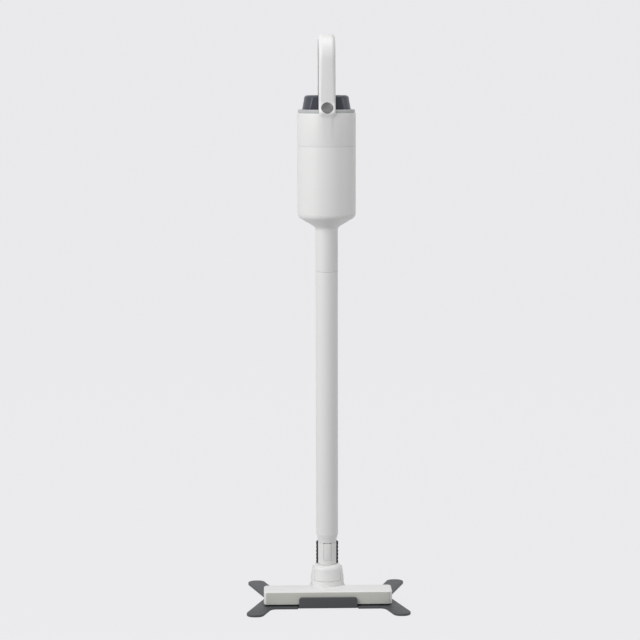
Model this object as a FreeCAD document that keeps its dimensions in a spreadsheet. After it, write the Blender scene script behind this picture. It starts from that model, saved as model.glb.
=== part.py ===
import FreeCAD, Part
import math
import os
import re

import Sketcher
from FreeCAD import Placement, Rotation, Vector

# A cordless stick vacuum standing on its floor stand.
# Millimetres. +Z is up, -Y is the front, and the stick's axis is the Z axis. The stand rests on Z = 0.

SIZES = {
    # the stand: a cross-shaped steel plate with a bent-up lip, on four pads
    "plate_thickness": 4,
    "foot_corner_x": 145,
    "foot_end_width": 32,
    "stand_half_depth": 105,
    "waist_x": 107.5,
    "waist_half_depth": 61,
    "foot_round": 13,
    "root_round": 12,
    "notch_round": 3,
    "lip_width": 100,
    "lip_height": 16,
    "lip_round": 4.5,
    "lip_bend": 1.5,
    "lip_relief": 1.5,
    "pad_radius": 9,
    "pad_proud": 1,
    "pad_recess": 0.5,
    "pad_x": 123.5,
    "pad_y": 88,
    # the floor head: a slim bar with a round socket behind its middle
    "head_rest_gap": 1,
    "head_width": 221,
    "head_front": 56,
    "head_rear": 13,
    "head_height": 24,
    "head_wall": 2.4,
    "head_corner_round": 7,
    "head_edge_round": 2,
    "socket_radius": 28.9,
    "socket_foot_radius": 32,
    "socket_foot_height": 19,
    "socket_rim_drop": 0.5,
    "ear_thickness": 6.6,
    "ear_depth": 33,
    "ear_reach": 21.5,
    "socket_notch_width": 38,
    "socket_notch_level": 18,
    "socket_notch_depth": 6,
    "sole_thickness": 3,
    "mouth_width": 176,
    "mouth_depth": 10,
    "mouth_y": 43,
    "strip_length": 190,
    "strip_thickness": 2.4,
    "strip_offset": 7.3,
    "strip_recess": 2,
    "head_screw_inner_x": 50,
    "head_screw_outer_x": 103,
    "head_screw_y": 23,
    "screw_radius": 1.25,
    "screw_head_radius": 2.9,
    "screw_head_height": 1.6,
    "screw_length": 14,
    "screw_post_wall": 2,
    "wheel_radius": 5,
    "wheel_width": 8,
    "wheel_x": 84,
    "wheel_y": 23,
    "axle_radius": 1.25,
    "bracket_thickness": 2,
    "axle_bore_spare": 15,
    "tyre_chamfer": 0.6,
    # the tilting ball and the swivelling neck
    "ball_radius": 27.4,
    "ball_wall": 3.6,
    "ball_rise": 33.5,
    "ball_opening_radius": 9.7,
    "cheek_wall": 2.6,
    "bell_step": 0.4,
    "bell_straight": 3,
    "bell_top_radius": 25.2,
    "bell_top_round": 8,
    "turret_radius": 18,
    "turret_rise": 26,
    "swivel_seat_rise": 22.5,
    "swivel_seat_radius": 15.8,
    "pin_radius": 2.5,
    "pin_boss_radius": 5,
    "pin_length": 9.5,
    "neck_tube_radius": 11,
    "neck_tube_wall": 1.5,
    "neck_flange_thickness": 2.3,
    "neck_ring_height": 2.2,
    "neck_spigot_drop": 2,
    "cover_radius": 16,
    "cover_wall": 2,
    "cover_height": 39.2,
    "boot_radius": 19.2,
    "boot_groove_depth": 1.6,
    "boot_ribs": 6,
    "boot_rib_share": 0.7,
    "button_width": 13.2,
    "button_height": 29.2,
    "button_top_gap": 1,
    "latch_width": 8,
    "latch_thickness": 1.1,
    "latch_nose": 0.9,
    "latch_drop": 6,
    "latch_root_depth": 0.5,
    "latch_rise": 8,
    # the wand
    "wand_radius": 19,
    "wand_wall": 2,
    "wand_length": 476,
    "wand_end_radius": 16.1,
    "wand_end_height": 3.3,
    "wand_lip_radius": 14.1,
    "wand_taper_height": 10.6,
    "wand_bore_drop": 2,
    "wand_slope": 0.167,
    "insert_length": 40,
    "insert_rise": 15,
    "spigot_wall": 1.8,
    "spigot_depth": 36,
    "spigot_rise": 31,
    "seal_height": 4,
    "seal_depth": 0.9,
    # the dust bin
    "cup_radius": 49.5,
    "cup_wall": 3.4,
    "cup_rim_wall": 2.2,
    "cup_rim_depth": 5.5,
    "cup_height": 210.5,
    "cup_neck_height": 72.5,
    "cup_cone_height": 18.5,
    "cup_floor_drop": 2.6,
    "cup_shoulder_round": 10,
    "cup_neck_round": 7,
    "standpipe_wall": 1.9,
    "standpipe_height": 86,
    "flap_thickness": 1.6,
    "flap_tab_depth": 5,
    "flap_ear_depth": 5.5,
    "flap_ear_drop": 9,
    "flap_pin_radius": 1,
    "flap_pin_y": 19.6,
    "flap_knuckle_radius": 1.7,
    "flap_knuckle_length": 16.4,
    "flap_ear_thickness": 2.5,
    # the filter
    "filter_flange_thickness": 2,
    "filter_drop": 42,
    "cage_radius": 32,
    "cage_wall": 1.6,
    "cage_window_width": 12,
    "cage_windows": 12,
    "cage_foot": 4,
    "cage_head": 3,
    "screen_thickness": 0.5,
    "screen_inset": 1,
    "pleat_count": 24,
    "pleat_outer_radius": 28.5,
    "pleat_inner_radius": 20,
    "pleat_thickness": 1.4,
    "filter_seal_width": 8,
    # the motor unit's casing, its deck and its handle
    "seam_gap": 0.5,
    "casing_height": 55,
    "casing_wall": 2.2,
    "casing_flange_thickness": 3,
    "casing_flange_radius": 34,
    "casing_edge_round": 1.5,
    "vent_count": 11,
    "vent_width": 2.6,
    "vent_height": 22,
    "vent_rise": 11,
    "vent_pitch": 8,
    "deck_gap": 0.6,
    "deck_inset": 1.3,
    "deck_height": 5.4,
    "deck_edge_round": 1.6,
    "well_wall": 1.6,
    "well_depth": 20,
    "arch_radius": 44,
    "arch_rise": 81.7,
    "strap_width": 28.2,
    "strap_thickness": 9,
    "strap_outer_round": 7,
    "grip_thickness": 3,
    "grip_inset": 0.7,
    "grip_foot_rise": 6,
    "foot_top_rise": 10.5,
    "foot_chin_drop": 3.5,
    "foot_chin_proud": 4,
    "foot_chin_height": 3,
    "foot_root_depth": 1,
    "foot_root_drop": 27,
    "power_radius": 9.8,
    "power_depth": 3.4,
    "power_dish": 1.4,
    "power_travel": 1.2,
    "power_pocket_depth": 6,
    "power_sunk": 0.4,
    "power_rim": 0.8,
    "switch_radius": 4.5,
    "switch_height": 3.2,
    "inlet_radius": 3.6,
    "inlet_depth": 6,
    "inlet_drop": 9,
    "inlet_wall": 0.9,
    "inlet_floor": 1.5,
    "inlet_pin_radius": 0.8,
    # the motor
    "mount_thickness": 2,
    "mount_flange": 5,
    "mount_lip": 4,
    "motor_can_radius": 33,
    "motor_can_wall": 1.5,
    "motor_can_height": 23,
    "motor_eye_radius": 14,
    "can_windows": 8,
    "can_window_width": 14,
    "shaft_radius": 2,
    "impeller_radius": 27,
    "impeller_height": 6.2,
    "impeller_rise": 3,
    "impeller_plate": 1.2,
    "impeller_hub_radius": 5,
    "blade_count": 9,
    "blade_thickness": 1,
    "blade_arc_radius": 16,
    "diffuser_thickness": 3.6,
    "diffuser_vanes": 12,
    "diffuser_slot_width": 9,
    "diffuser_rim": 3.5,
    "diffuser_overlap": 1,
    "bearing_radius": 5,
    "bearing_height": 2.6,
    "magnet_radius": 8,
    "magnet_height": 4,
    "stator_outer_radius": 24,
    "stator_inner_radius": 8.6,
    "stator_gap": 0.7,
    "stator_slots": 6,
    "stator_slot_width": 5,
    "stator_lip": 2,
    "stator_back": 4,
    "board_width": 40,
    "board_height": 26,
    "board_thickness": 1.6,
    "board_y": 39.6,
    "foam_thickness": 6,
    "foam_height": 30,
    # the battery
    "battery_radius": 41,
    "battery_top_radius": 37.6,
    "battery_flat_y": 29,
    "battery_height": 23.5,
    "battery_edge_round": 5.5,
    "battery_tub_inset": 1.6,
    "battery_wall": 1.1,
    "battery_roof": 4.7,
    "cell_radius": 9.1,
    "cell_length": 65,
    "cell_pitch": 18.25,
    "contact_width": 6,
    "contact_thickness": 1,
    "contact_length": 6,
    "contact_pitch": 12,
    # clearances
    "running_gap": 0.3,
    "slip_gap": 0.4,
    "bearing_gap": 0.05,
    "press_gap": 0.02,
}

# Levels and sizes that follow from the ones above.
WORKED_OUT = {
    "plate_top": "pad_proud + plate_thickness",
    "head_base": "plate_top + head_rest_gap",
    "head_top": "head_base + head_height",
    "sole_top": "head_base + sole_thickness",
    "wheel_level": "plate_top + running_gap + wheel_radius",
    "ball_level": "head_base + ball_rise",
    "socket_rim": "ball_level - socket_rim_drop",
    "cheek_x": "socket_radius - ear_thickness - running_gap",
    "bell_radius": "socket_radius - bell_step",
    "bell_shoulder": "socket_rim + bell_straight",
    "pin_end": "bell_radius - running_gap",
    "turret_top": "ball_level + turret_rise",
    "neck_base": "turret_top + running_gap",
    "neck_ring_radius": "cover_radius - cover_wall - press_gap",
    "neck_ring_top": "neck_base + neck_ring_height",
    "wand_base": "neck_base + cover_height",
    "wand_top": "wand_base + wand_length",
    "wand_bore": "wand_radius - wand_wall",
    "spigot_radius": "wand_bore - bearing_gap",
    "cup_bore": "wand_bore + slip_gap",
    "cup_cone_base": "wand_top + cup_neck_height",
    "cup_cone_top": "cup_cone_base + cup_cone_height",
    "cup_top": "wand_top + cup_height",
    "cup_inside": "cup_radius - cup_wall",
    "rim_inside": "cup_radius - cup_rim_wall",
    "ledge_level": "cup_top - cup_rim_depth",
    "standpipe_base": "wand_top + spigot_rise + 2 * running_gap",
    "standpipe_top": "standpipe_base + standpipe_height",
    "standpipe_radius": "cup_bore - press_gap",
    "flap_base": "standpipe_top + running_gap",
    "flap_pin_level": "flap_base + flap_knuckle_radius",
    "flange_top": "ledge_level + filter_flange_thickness",
    "cage_base": "ledge_level - filter_drop",
    "casing_base": "cup_top + seam_gap",
    "casing_top": "casing_base + casing_height",
    "casing_inside": "cup_radius - casing_wall",
    "casing_floor": "casing_base + casing_flange_thickness",
    "deck_base": "casing_top + deck_gap",
    "deck_top": "deck_base + deck_height",
    "well_floor": "deck_top - well_depth - slip_gap",
    "arch_level": "deck_top + arch_rise",
    "strap_inside": "arch_radius - strap_thickness",
    "grip_inside": "strap_inside - grip_thickness",
    "foot_top": "deck_top + foot_top_rise",
    "chin_level": "deck_top - foot_chin_drop",
    "foot_root": "deck_top - foot_root_drop",
    "motor_base": "casing_floor + mount_thickness",
    "motor_top": "motor_base + motor_can_height",
    "impeller_base": "motor_base + impeller_rise",
    "diffuser_base": "impeller_base + impeller_height + 1",
    "upper_bearing_base": "motor_top - motor_can_wall - bearing_height",
    "battery_top": "deck_top + battery_height",
    "cover_hollow": "battery_height - battery_roof",
    "tub_base": "deck_top - well_depth",
    "tub_radius": "battery_radius - battery_tub_inset",
    "tub_flat_y": "battery_flat_y - battery_tub_inset",
}

doc = FreeCAD.newDocument("stick_vacuum")
sheet = doc.addObject("Spreadsheet::Sheet", "Sizes")


def fill_sheet():
    """One row for each size: its name beside its value, which carries the name as alias."""
    for row, (name, number) in enumerate(SIZES.items(), start=1):
        sheet.set(f"A{row}", name)
        sheet.set(f"B{row}", str(number))
        sheet.setAlias(f"B{row}", name)
    doc.recompute()


def formula(text):
    """An expression on the sheet's cells, from words such as 'wand_radius - wand_wall'."""

    def cell(match):
        word = match.group()
        if word in WORKED_OUT:
            return "(" + formula(WORKED_OUT[word]) + ")"
        return "Sizes." + word if word in SIZES else word

    return re.sub(r"[a-z]\w*", cell, str(text))


def value(text):
    """The number that a formula gives."""
    return float(sheet.evalExpression(formula(text)))


def bind(item, **sizes):
    """Tie properties to formulas; a double underscore in a name stands for a dot."""
    for name, text in sizes.items():
        item.setExpression(name.replace("__", "."), formula(text))
    return item


# ---- sketches and features of bodies ----


def new_body(label):
    body = doc.addObject("PartDesign::Body", label)
    body.Label = label
    return body


def sketch_on(body, name, role, level="0"):
    """An empty sketch on one of the body's own planes, moved along its normal to a level."""
    sketch = body.newObject("Sketcher::SketchObject", name)
    planes = {plane.Role: plane for plane in body.Origin.OriginFeatures}
    sketch.AttachmentSupport = (planes[role], [""])
    sketch.MapMode = "FlatFace"
    bind(sketch, AttachmentOffset__Base__z=level)
    return sketch


def outline(body, name, role, corners, level="0"):
    """A closed sketch of straight sides, each corner held at its two formulas."""
    sketch = sketch_on(body, name, role, level)
    places = [Vector(value(across), value(up), 0) for across, up in corners]
    count = len(places)
    for i in range(count):
        sketch.addGeometry(Part.LineSegment(places[i], places[(i + 1) % count]), False)
    for i in range(count):
        sketch.addConstraint(Sketcher.Constraint("Coincident", i, 2, (i + 1) % count, 1))
    for i, (across, up) in enumerate(corners):
        for kind, text, number in (("DistanceX", across, places[i].x), ("DistanceY", up, places[i].y)):
            index = sketch.addConstraint(Sketcher.Constraint(kind, -1, 1, i, 1, number))
            sketch.setExpression(f"Constraints[{index}]", formula(text))
    return sketch


def rectangle(half_width, low, high):
    """The corners of a rectangle that is centred across."""
    return [(f"-({half_width})", low), (half_width, low), (half_width, high), (f"-({half_width})", high)]


def pad(body, name, sketch, length, midplane=False):
    feature = body.newObject("PartDesign::Pad", name)
    feature.Profile = sketch
    feature.Midplane = midplane
    bind(feature, Length=length)
    doc.recompute()
    return feature


def pocket(body, name, sketch, depth, backwards=False):
    """A cut from the sketch; it has to take something away."""
    before = body.Shape.Volume
    feature = body.newObject("PartDesign::Pocket", name)
    feature.Profile = sketch
    feature.Reversed = backwards
    bind(feature, Length=depth)
    doc.recompute()
    if body.Shape.Volume >= before:
        raise RuntimeError(f"{name} cuts nothing")
    return feature


def turn(body, name, corners, role="XZ_Plane"):
    """A solid turned about the stick's axis from an outline of (radius, level) corners."""
    feature = body.newObject("PartDesign::Revolution", name)
    feature.Profile = outline(body, name + "_outline", role, corners)
    feature.ReferenceAxis = (feature.Profile[0], ["V_Axis"])
    feature.Angle = 360
    doc.recompute()
    return feature


def round_edges(body, name, radius, wanted):
    """A fillet on the edges of the body's last feature that pass a test."""
    base = body.Tip
    names = [f"Edge{i}" for i, edge in enumerate(base.Shape.Edges, start=1) if wanted(edge)]
    feature = body.newObject("PartDesign::Fillet", name)
    feature.Base = (base, names)
    bind(feature, Radius=radius)
    doc.recompute()
    return feature


def around(body, name, feature, copies):
    """Copies of a feature spread evenly about the stick's axis."""
    pattern = body.newObject("PartDesign::PolarPattern", name)
    pattern.Originals = [feature]
    pattern.Axis = (feature.Profile[0], ["V_Axis"])
    pattern.Angle = 360
    bind(pattern, Occurrences=copies)
    body.Tip = pattern
    doc.recompute()
    return pattern


def ends_at(edge, test):
    return all(test(vertex.Point) for vertex in edge.Vertexes)


def is_circle(edge, radius, level):
    """Is the edge a whole circle of this radius at this level?"""
    box = edge.BoundBox
    flat = abs(box.ZMin - level) < 1e-4 and abs(box.ZMax - level) < 1e-4
    return flat and isinstance(edge.Curve, Part.Circle) and abs(edge.Curve.Radius - radius) < 1e-4


# ---- primitives and booleans ----


def placed(item, x, y, z):
    return bind(item, Placement__Base__x=x, Placement__Base__y=y, Placement__Base__z=z)


def block(name, low, size):
    """A box from its lowest corner and its three sizes."""
    item = doc.addObject("Part::Box", name)
    bind(item, Length=size[0], Width=size[1], Height=size[2])
    return placed(item, *low)


def rod(name, radius, length, base, axis="Z"):
    """A cylinder that starts at base and runs along +X, +Y or +Z."""
    item = doc.addObject("Part::Cylinder", name)
    turns = {"X": Rotation(Vector(0, 1, 0), 90), "Y": Rotation(Vector(1, 0, 0), -90), "Z": Rotation()}
    item.Placement = Placement(Vector(), turns[axis])
    bind(item, Radius=radius, Height=length)
    return placed(item, *base)


def tube(name, outer, inner, low, length):
    """An upright tube about the stick's axis."""
    wall = rod(name + "_outside", outer, length, ("0", "0", low))
    bore = rod(name + "_bore", inner, f"{length} + 2", ("0", "0", f"{low} - 1"))
    return cut(name, wall, [bore])


def ball(name, radius, level):
    item = doc.addObject("Part::Sphere", name)
    bind(item, Radius=radius)
    return placed(item, "0", "0", level)


def fuse(name, shapes):
    item = doc.addObject("Part::MultiFuse", name)
    item.Label = name
    item.Shapes = shapes
    item.Refine = True
    return item


def group(name, shapes):
    """Separate solids that share one node."""
    item = doc.addObject("Part::Compound", name)
    item.Label = name
    item.Links = shapes
    return item


def cut(name, base, tools):
    item = doc.addObject("Part::Cut", name)
    item.Label = name
    item.Base = base
    item.Tool = tools[0] if len(tools) == 1 else fuse(name + "_tools", tools)
    item.Refine = True
    return item


def common(name, shapes):
    item = doc.addObject("Part::MultiCommon", name)
    item.Label = name
    item.Shapes = shapes
    return item


def shaped(name, shape):
    """A piece whose shape is worked out by Part's own functions."""
    item = doc.addObject("Part::Feature", name)
    item.Label = name
    item.Shape = shape
    return item


# ---- the stand ----


def stand_plate():
    """A flat cross with slanted feet, cut from sheet, and a lip bent up along its front."""
    body = new_body("stand_sheet")
    slant = "(foot_corner_x - waist_x) / stand_half_depth"
    root_x = f"foot_corner_x - foot_end_width - (stand_half_depth - waist_half_depth) * {slant}"
    inner_x = "foot_corner_x - foot_end_width"
    quarter = [
        ("waist_x", "0"),
        ("foot_corner_x", "stand_half_depth"),
        (inner_x, "stand_half_depth"),
        (root_x, "waist_half_depth"),
    ]
    corners = list(quarter)
    corners += [(f"-({x})", y) for x, y in reversed(quarter)]
    corners += [(f"-({x})", f"-({y})") for x, y in quarter[1:]]
    corners += [(x, f"-({y})") for x, y in reversed(quarter[1:])]
    pad(body, "sheet", outline(body, "cross", "XY_Plane", corners, "pad_proud"), "plate_thickness")
    relief_end = "-waist_half_depth + plate_thickness + lip_bend"
    reliefs = rectangle("lip_width / 2 + lip_relief", "-waist_half_depth - 1", relief_end)
    sketch = outline(body, "relief_outline", "XY_Plane", reliefs, "plate_top")
    pocket(body, "lip_relief", sketch, "plate_thickness")
    bend = "plate_thickness + lip_bend"
    front = "-waist_half_depth"
    section = [
        (f"{front} + {bend} + 1", "pad_proud"),
        (f"{front} + {bend} + 1", "plate_top"),
        (f"{front} + plate_thickness", "plate_top"),
        (f"{front} + plate_thickness", "plate_top + lip_height"),
        (front, "plate_top + lip_height"),
        (front, "pad_proud"),
    ]
    pad(body, "lip", outline(body, "lip_section", "YZ_Plane", section), "lip_width", midplane=True)
    low_edge = value("pad_proud")
    high_edge = value("plate_top")
    outside_y = value(front)
    inside_y = value(f"{front} + plate_thickness")

    def along_lip(y, z):
        def test(edge):
            long_enough = edge.BoundBox.XLength > value("lip_width") - 0.01
            return long_enough and ends_at(edge, lambda p: abs(p.y - y) < 0.01 and abs(p.z - z) < 0.01)

        return test

    round_edges(body, "bend_outside", bend, along_lip(outside_y, low_edge))
    round_edges(body, "bend_inside", "lip_bend", along_lip(inside_y, high_edge))

    def upright_at(across, along):
        across, along = value(across), value(along)

        def test(point):
            return abs(abs(point.x) - across) < 0.01 and abs(abs(point.y) - along) < 0.01

        return lambda edge: edge.BoundBox.XLength < 0.01 and ends_at(edge, test)

    round_edges(body, "outer_toes", "foot_round", upright_at("foot_corner_x", "stand_half_depth"))
    round_edges(body, "inner_toes", "foot_round", upright_at(inner_x, "stand_half_depth"))
    round_edges(body, "foot_roots", "root_round", upright_at(root_x, "waist_half_depth"))
    round_edges(body, "notches", "notch_round", upright_at("waist_x", "0"))
    lip_top = value("plate_top + lip_height")
    half_lip = value("lip_width / 2")

    def at_lip_corner(point):
        return abs(point.z - lip_top) < 0.01 and abs(abs(point.x) - half_lip) < 0.01

    def lip_corner(edge):
        return edge.BoundBox.XLength < 0.01 and ends_at(edge, at_lip_corner)

    round_edges(body, "lip_corners", "lip_round", lip_corner)
    recesses = []
    for i, (x, y) in enumerate(pad_places()):
        foot = (x, y, "pad_proud - 1")
        recesses.append(rod(f"pad_recess_{i}", "pad_radius + press_gap", "pad_recess + 1", foot))
    return cut("stand_plate", body, recesses)


def pad_places():
    return [(f"{i} * pad_x", f"{j} * pad_y") for i in (-1, 1) for j in (-1, 1)]


def stand_pads():
    """Round anti-slip pads, let into the plate's underside near the end of each foot."""
    pads = []
    for i, (x, y) in enumerate(pad_places()):
        pads.append(rod(f"pad_{i}", "pad_radius", "pad_proud + pad_recess", (x, y, "0")))
    return group("stand_pads", pads)


# ---- the floor head ----


def head_screw_places():
    across = ("head_screw_inner_x", "head_screw_outer_x")
    return [(f"{side} * {x}", "-head_screw_y") for side in (-1, 1) for x in across]


def bell(name, base):
    """The turned bell shared by the ears and the ball's front: it narrows up to a round shoulder."""
    body = new_body(name)
    corners = [
        ("0", base),
        ("bell_radius", base),
        ("bell_radius", "bell_shoulder"),
        ("bell_top_radius", "turret_top"),
        ("0", "turret_top"),
    ]
    turn(body, name + "_turning", corners)
    rim = value("bell_top_radius"), value("turret_top")
    round_edges(body, name + "_shoulder", "bell_top_round", lambda edge: is_circle(edge, *rim))
    return body


def head_upper_shell():
    """The moulded bar with the round socket, two ears that carry the ball, and the air channel."""
    bar = new_body("head_bar")
    corners = rectangle("head_width / 2", "-head_front", "-head_rear")
    pad(bar, "bar", outline(bar, "bar_plan", "XY_Plane", corners, "head_base"), "head_height")
    round_edges(bar, "bar_corners", "head_corner_round", lambda edge: edge.BoundBox.ZLength > 1)
    top = value("head_top")

    def on_top(edge):
        return ends_at(edge, lambda point: abs(point.z - top) < 0.01)

    round_edges(bar, "bar_top_edge", "head_edge_round", on_top)
    drum = new_body("socket_drum")
    foot_top = "head_base + socket_foot_height"
    drum_corners = [
        ("0", "head_base"),
        ("socket_foot_radius", "head_base"),
        ("socket_foot_radius", foot_top),
        ("socket_radius", f"{foot_top} + socket_foot_radius - socket_radius"),
        ("socket_radius", "socket_rim"),
        ("0", "socket_rim"),
    ]
    turn(drum, "drum_turning", drum_corners)
    cheek_gap = block(
        "between_ears",
        ("-cheek_x - running_gap", "-socket_radius", "head_base"),
        ("2 * cheek_x + 2 * running_gap", "2 * socket_radius", "3 * socket_radius"),
    )
    ear_sides = block(
        "ear_sides",
        ("-socket_radius", "-ear_depth / 2", "head_base"),
        ("2 * socket_radius", "ear_depth", "3 * socket_radius"),
    )
    eyes = rod("ear_eyes", "ear_reach", "2 * socket_radius", ("-socket_radius", "0", "ball_level"), "X")
    ears = cut("ears", common("ear_rounds", [bell("ear_bell", "head_base"), eyes, ear_sides]), [cheek_gap])
    outside = fuse("head_outside", [bar, drum, ears])
    round_hollow = ball("socket_round", "ball_radius + running_gap", "ball_level")
    bore_length, bore_start = "2 * socket_radius + 2", ("-socket_radius - 1", "0", "ball_level")
    inner_half = "(head_width / 2 - head_wall)"
    inner_depth = "(head_front - head_rear - 2 * head_wall)"
    tools = [
        common("socket_hollow", [round_hollow, cheek_gap]),
        block(
            "air_channel",
            (f"-{inner_half}", "-head_front + head_wall", "head_base - 1"),
            (f"2 * {inner_half}", inner_depth, "head_height - head_wall + 1"),
        ),
        block(
            "tilt_notch",
            ("-socket_notch_width / 2", "socket_notch_depth", "head_base + socket_notch_level"),
            ("socket_notch_width", "socket_foot_radius", "2 * socket_radius"),
        ),
        rod("ear_bore", "pin_radius + press_gap", bore_length, bore_start, "X"),
    ]
    hollow = cut("head_hollow", outside, tools)
    posts = []
    pilots = []
    for i, (x, y) in enumerate(head_screw_places()):
        post_height = "head_top - head_wall / 2 - sole_top"
        post_foot = (x, y, "sole_top")
        posts.append(rod(f"screw_post_{i}", "screw_radius + screw_post_wall", post_height, post_foot))
        pilot_start = (x, y, "sole_top - 1")
        pilots.append(rod(f"screw_pilot_{i}", "screw_radius + press_gap", "screw_length", pilot_start))
    return cut("head_upper_shell", fuse("head_with_posts", [hollow] + posts), pilots)


def head_sole_plate():
    """The sole: a mouth across the floor, grooves for two strips, wheel windows and brackets."""
    half = "(head_width / 2 - head_wall - running_gap)"
    plate = block(
        "sole_sheet",
        (f"-{half}", "-head_front + head_wall + running_gap", "head_base"),
        (f"2 * {half}", "head_front - head_rear - 2 * head_wall - 2 * running_gap", "sole_thickness"),
    )
    solids = [plate]
    tools = [
        block(
            "mouth",
            ("-mouth_width / 2", "-mouth_y - mouth_depth / 2", "head_base - 1"),
            ("mouth_width", "mouth_depth", "sole_thickness + 2"),
        )
    ]
    for i, side in enumerate((-1, 1)):
        tools.append(
            block(
                f"strip_groove_{i}",
                (
                    "-strip_length / 2 - press_gap",
                    f"-mouth_y + {side} * strip_offset - strip_thickness / 2 - press_gap",
                    "head_base - 1",
                ),
                ("strip_length + 2 * press_gap", "strip_thickness + 2 * press_gap", "strip_recess + 1"),
            )
        )
        window_half = "(wheel_width / 2 + 3 * running_gap)"
        tools.append(
            block(
                f"wheel_window_{i}",
                (f"{side} * wheel_x - {window_half}", "-wheel_y - wheel_radius - 1", "head_base - 1"),
                (f"2 * {window_half}", "2 * wheel_radius + 2", "sole_thickness + 2"),
            )
        )
        for j, flank in enumerate((-1, 1)):
            middle = f"{side} * wheel_x + {flank} * ({window_half} + bracket_thickness / 2)"
            bracket_height = "wheel_level + 2 * axle_radius - head_base - 1"
            solids.append(
                block(
                    f"bracket_{i}{j}",
                    (f"{middle} - bracket_thickness / 2", "-wheel_y - 2 * axle_radius", "head_base + 1"),
                    ("bracket_thickness", "4 * axle_radius", bracket_height),
                )
            )
    bore_start = ("-wheel_x - axle_bore_spare", "-wheel_y", "wheel_level")
    bore_length = "2 * wheel_x + 2 * axle_bore_spare"
    tools.append(rod("axle_bore", "axle_radius + press_gap", bore_length, bore_start, "X"))
    for i, (x, y) in enumerate(head_screw_places()):
        foot = (x, y, "head_base - 1")
        tools.append(rod(f"sole_hole_{i}", "screw_radius + running_gap", "sole_thickness + 2", foot))
        tools.append(
            rod(
                f"sole_counterbore_{i}",
                "screw_head_radius + running_gap",
                "screw_head_height + 1 + running_gap",
                (x, y, "head_base - 1"),
            )
        )
    return cut("head_sole_plate", fuse("sole_solids", solids), tools)


def head_lint_strips():
    """Two brush strips, before and behind the mouth, that reach almost to the floor."""
    strips = []
    for i, side in enumerate((-1, 1)):
        strips.append(
            block(
                f"strip_{i}",
                (
                    "-strip_length / 2",
                    f"-mouth_y + {side} * strip_offset - strip_thickness / 2",
                    "plate_top + running_gap",
                ),
                ("strip_length", "strip_thickness", "head_base + strip_recess - plate_top - running_gap"),
            )
        )
    return group("head_lint_strips", strips)


def head_screws():
    """Four pan-head screws that hold the sole to the posts in the shell."""
    screws = []
    for i, (x, y) in enumerate(head_screw_places()):
        level = "head_base + running_gap"
        head = rod(f"screw_head_{i}", "screw_head_radius", "screw_head_height", (x, y, level))
        shank = rod(f"screw_shank_{i}", "screw_radius", "screw_length - running_gap", (x, y, level))
        screws.append(fuse(f"head_screw_{i}", [head, shank]))
    return group("head_screws", screws)


def wheel_axles():
    """A steel pin through each wheel, held in the sole's brackets."""
    axles = []
    span = "(wheel_width / 2 + 3 * running_gap + bracket_thickness)"
    for i, side in enumerate((-1, 1)):
        start = (f"{side} * wheel_x - {span}", "-wheel_y", "wheel_level")
        axles.append(rod(f"axle_{i}", "axle_radius", f"2 * {span}", start, "X"))
    return group("wheel_axles", axles)


def head_wheel(label, side):
    """A small plain wheel with chamfered rims."""
    body = new_body(label)
    half = "wheel_width / 2"
    rim = "wheel_radius - tyre_chamfer"
    corners = [
        ("axle_radius + bearing_gap", f"-({half})"),
        (rim, f"-({half})"),
        ("wheel_radius", f"-({half}) + tyre_chamfer"),
        ("wheel_radius", f"{half} - tyre_chamfer"),
        (rim, half),
        ("axle_radius + bearing_gap", half),
    ]
    turn(body, label + "_turning", corners)
    body.Placement = Placement(Vector(), Rotation(Vector(0, 1, 0), 90))
    placed(body, f"{side} * wheel_x", "-wheel_y", "wheel_level")
    return body


def pivot_pins():
    """Two steel pins that carry the ball in the ears of the socket."""
    pins = []
    for i, start in enumerate(("-pin_end", "pin_end - pin_length")):
        pins.append(rod(f"pivot_pin_{i}", "pin_radius", "pin_length", (start, "0", "ball_level"), "X"))
    return group("pivot_pins", pins)


# ---- the ball and the neck ----


def ball_shells():
    """The ball's two halves: a bell in front, a turret behind, flat cheeks outside, pin bosses inside."""
    hollow = [
        common(
            "ball_hollow",
            [
                ball("ball_inside", "ball_radius - ball_wall", "ball_level"),
                block(
                    "between_cheeks",
                    ("-cheek_x + cheek_wall", "-ball_radius", "head_base"),
                    ("2 * cheek_x - 2 * cheek_wall", "2 * ball_radius", "2 * ball_rise"),
                ),
            ],
        ),
        rod("swivel_seat", "swivel_seat_radius", "swivel_seat_rise", ("0", "0", "ball_level")),
        rod("swivel_bore", "neck_tube_radius + running_gap", "turret_rise + 1", ("0", "0", "ball_level")),
        rod("ball_opening", "ball_opening_radius", "ball_radius", ("0", "0", "ball_level - ball_radius")),
    ]
    boss_start = "(pin_end - pin_length)"
    boss_length = f"(cheek_x - {boss_start})"
    bosses = [
        rod("pin_boss_right", "pin_boss_radius", boss_length, (boss_start, "0", "ball_level"), "X"),
        rod("pin_boss_left", "pin_boss_radius", boss_length, ("-cheek_x", "0", "ball_level"), "X"),
    ]
    bore_start = ("-socket_radius", "0", "ball_level")
    bore = rod("pin_bore", "pin_radius + bearing_gap", "2 * socket_radius", bore_start, "X")
    tops = {
        "ball_front_shell": ("-socket_radius", bell("ball_bell", "socket_rim + running_gap")),
        "ball_rear_shell": ("0", rod("turret", "turret_radius", "turret_rise", ("0", "0", "ball_level"))),
    }
    halves = []
    for label, (near, top) in tops.items():
        outside = fuse(label + "_outside", [ball(label + "_ball", "ball_radius", "ball_level"), top])
        shell = cut(label + "_shell", outside, hollow)
        whole = cut(label + "_whole", fuse(label + "_with_bosses", [shell] + bosses), [bore])
        side = block(
            label + "_side",
            ("-cheek_x", near, "head_base"),
            ("2 * cheek_x", "socket_radius", "turret_top - head_base"),
        )
        halves.append(common(label, [whole, side]))
    return halves


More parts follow.
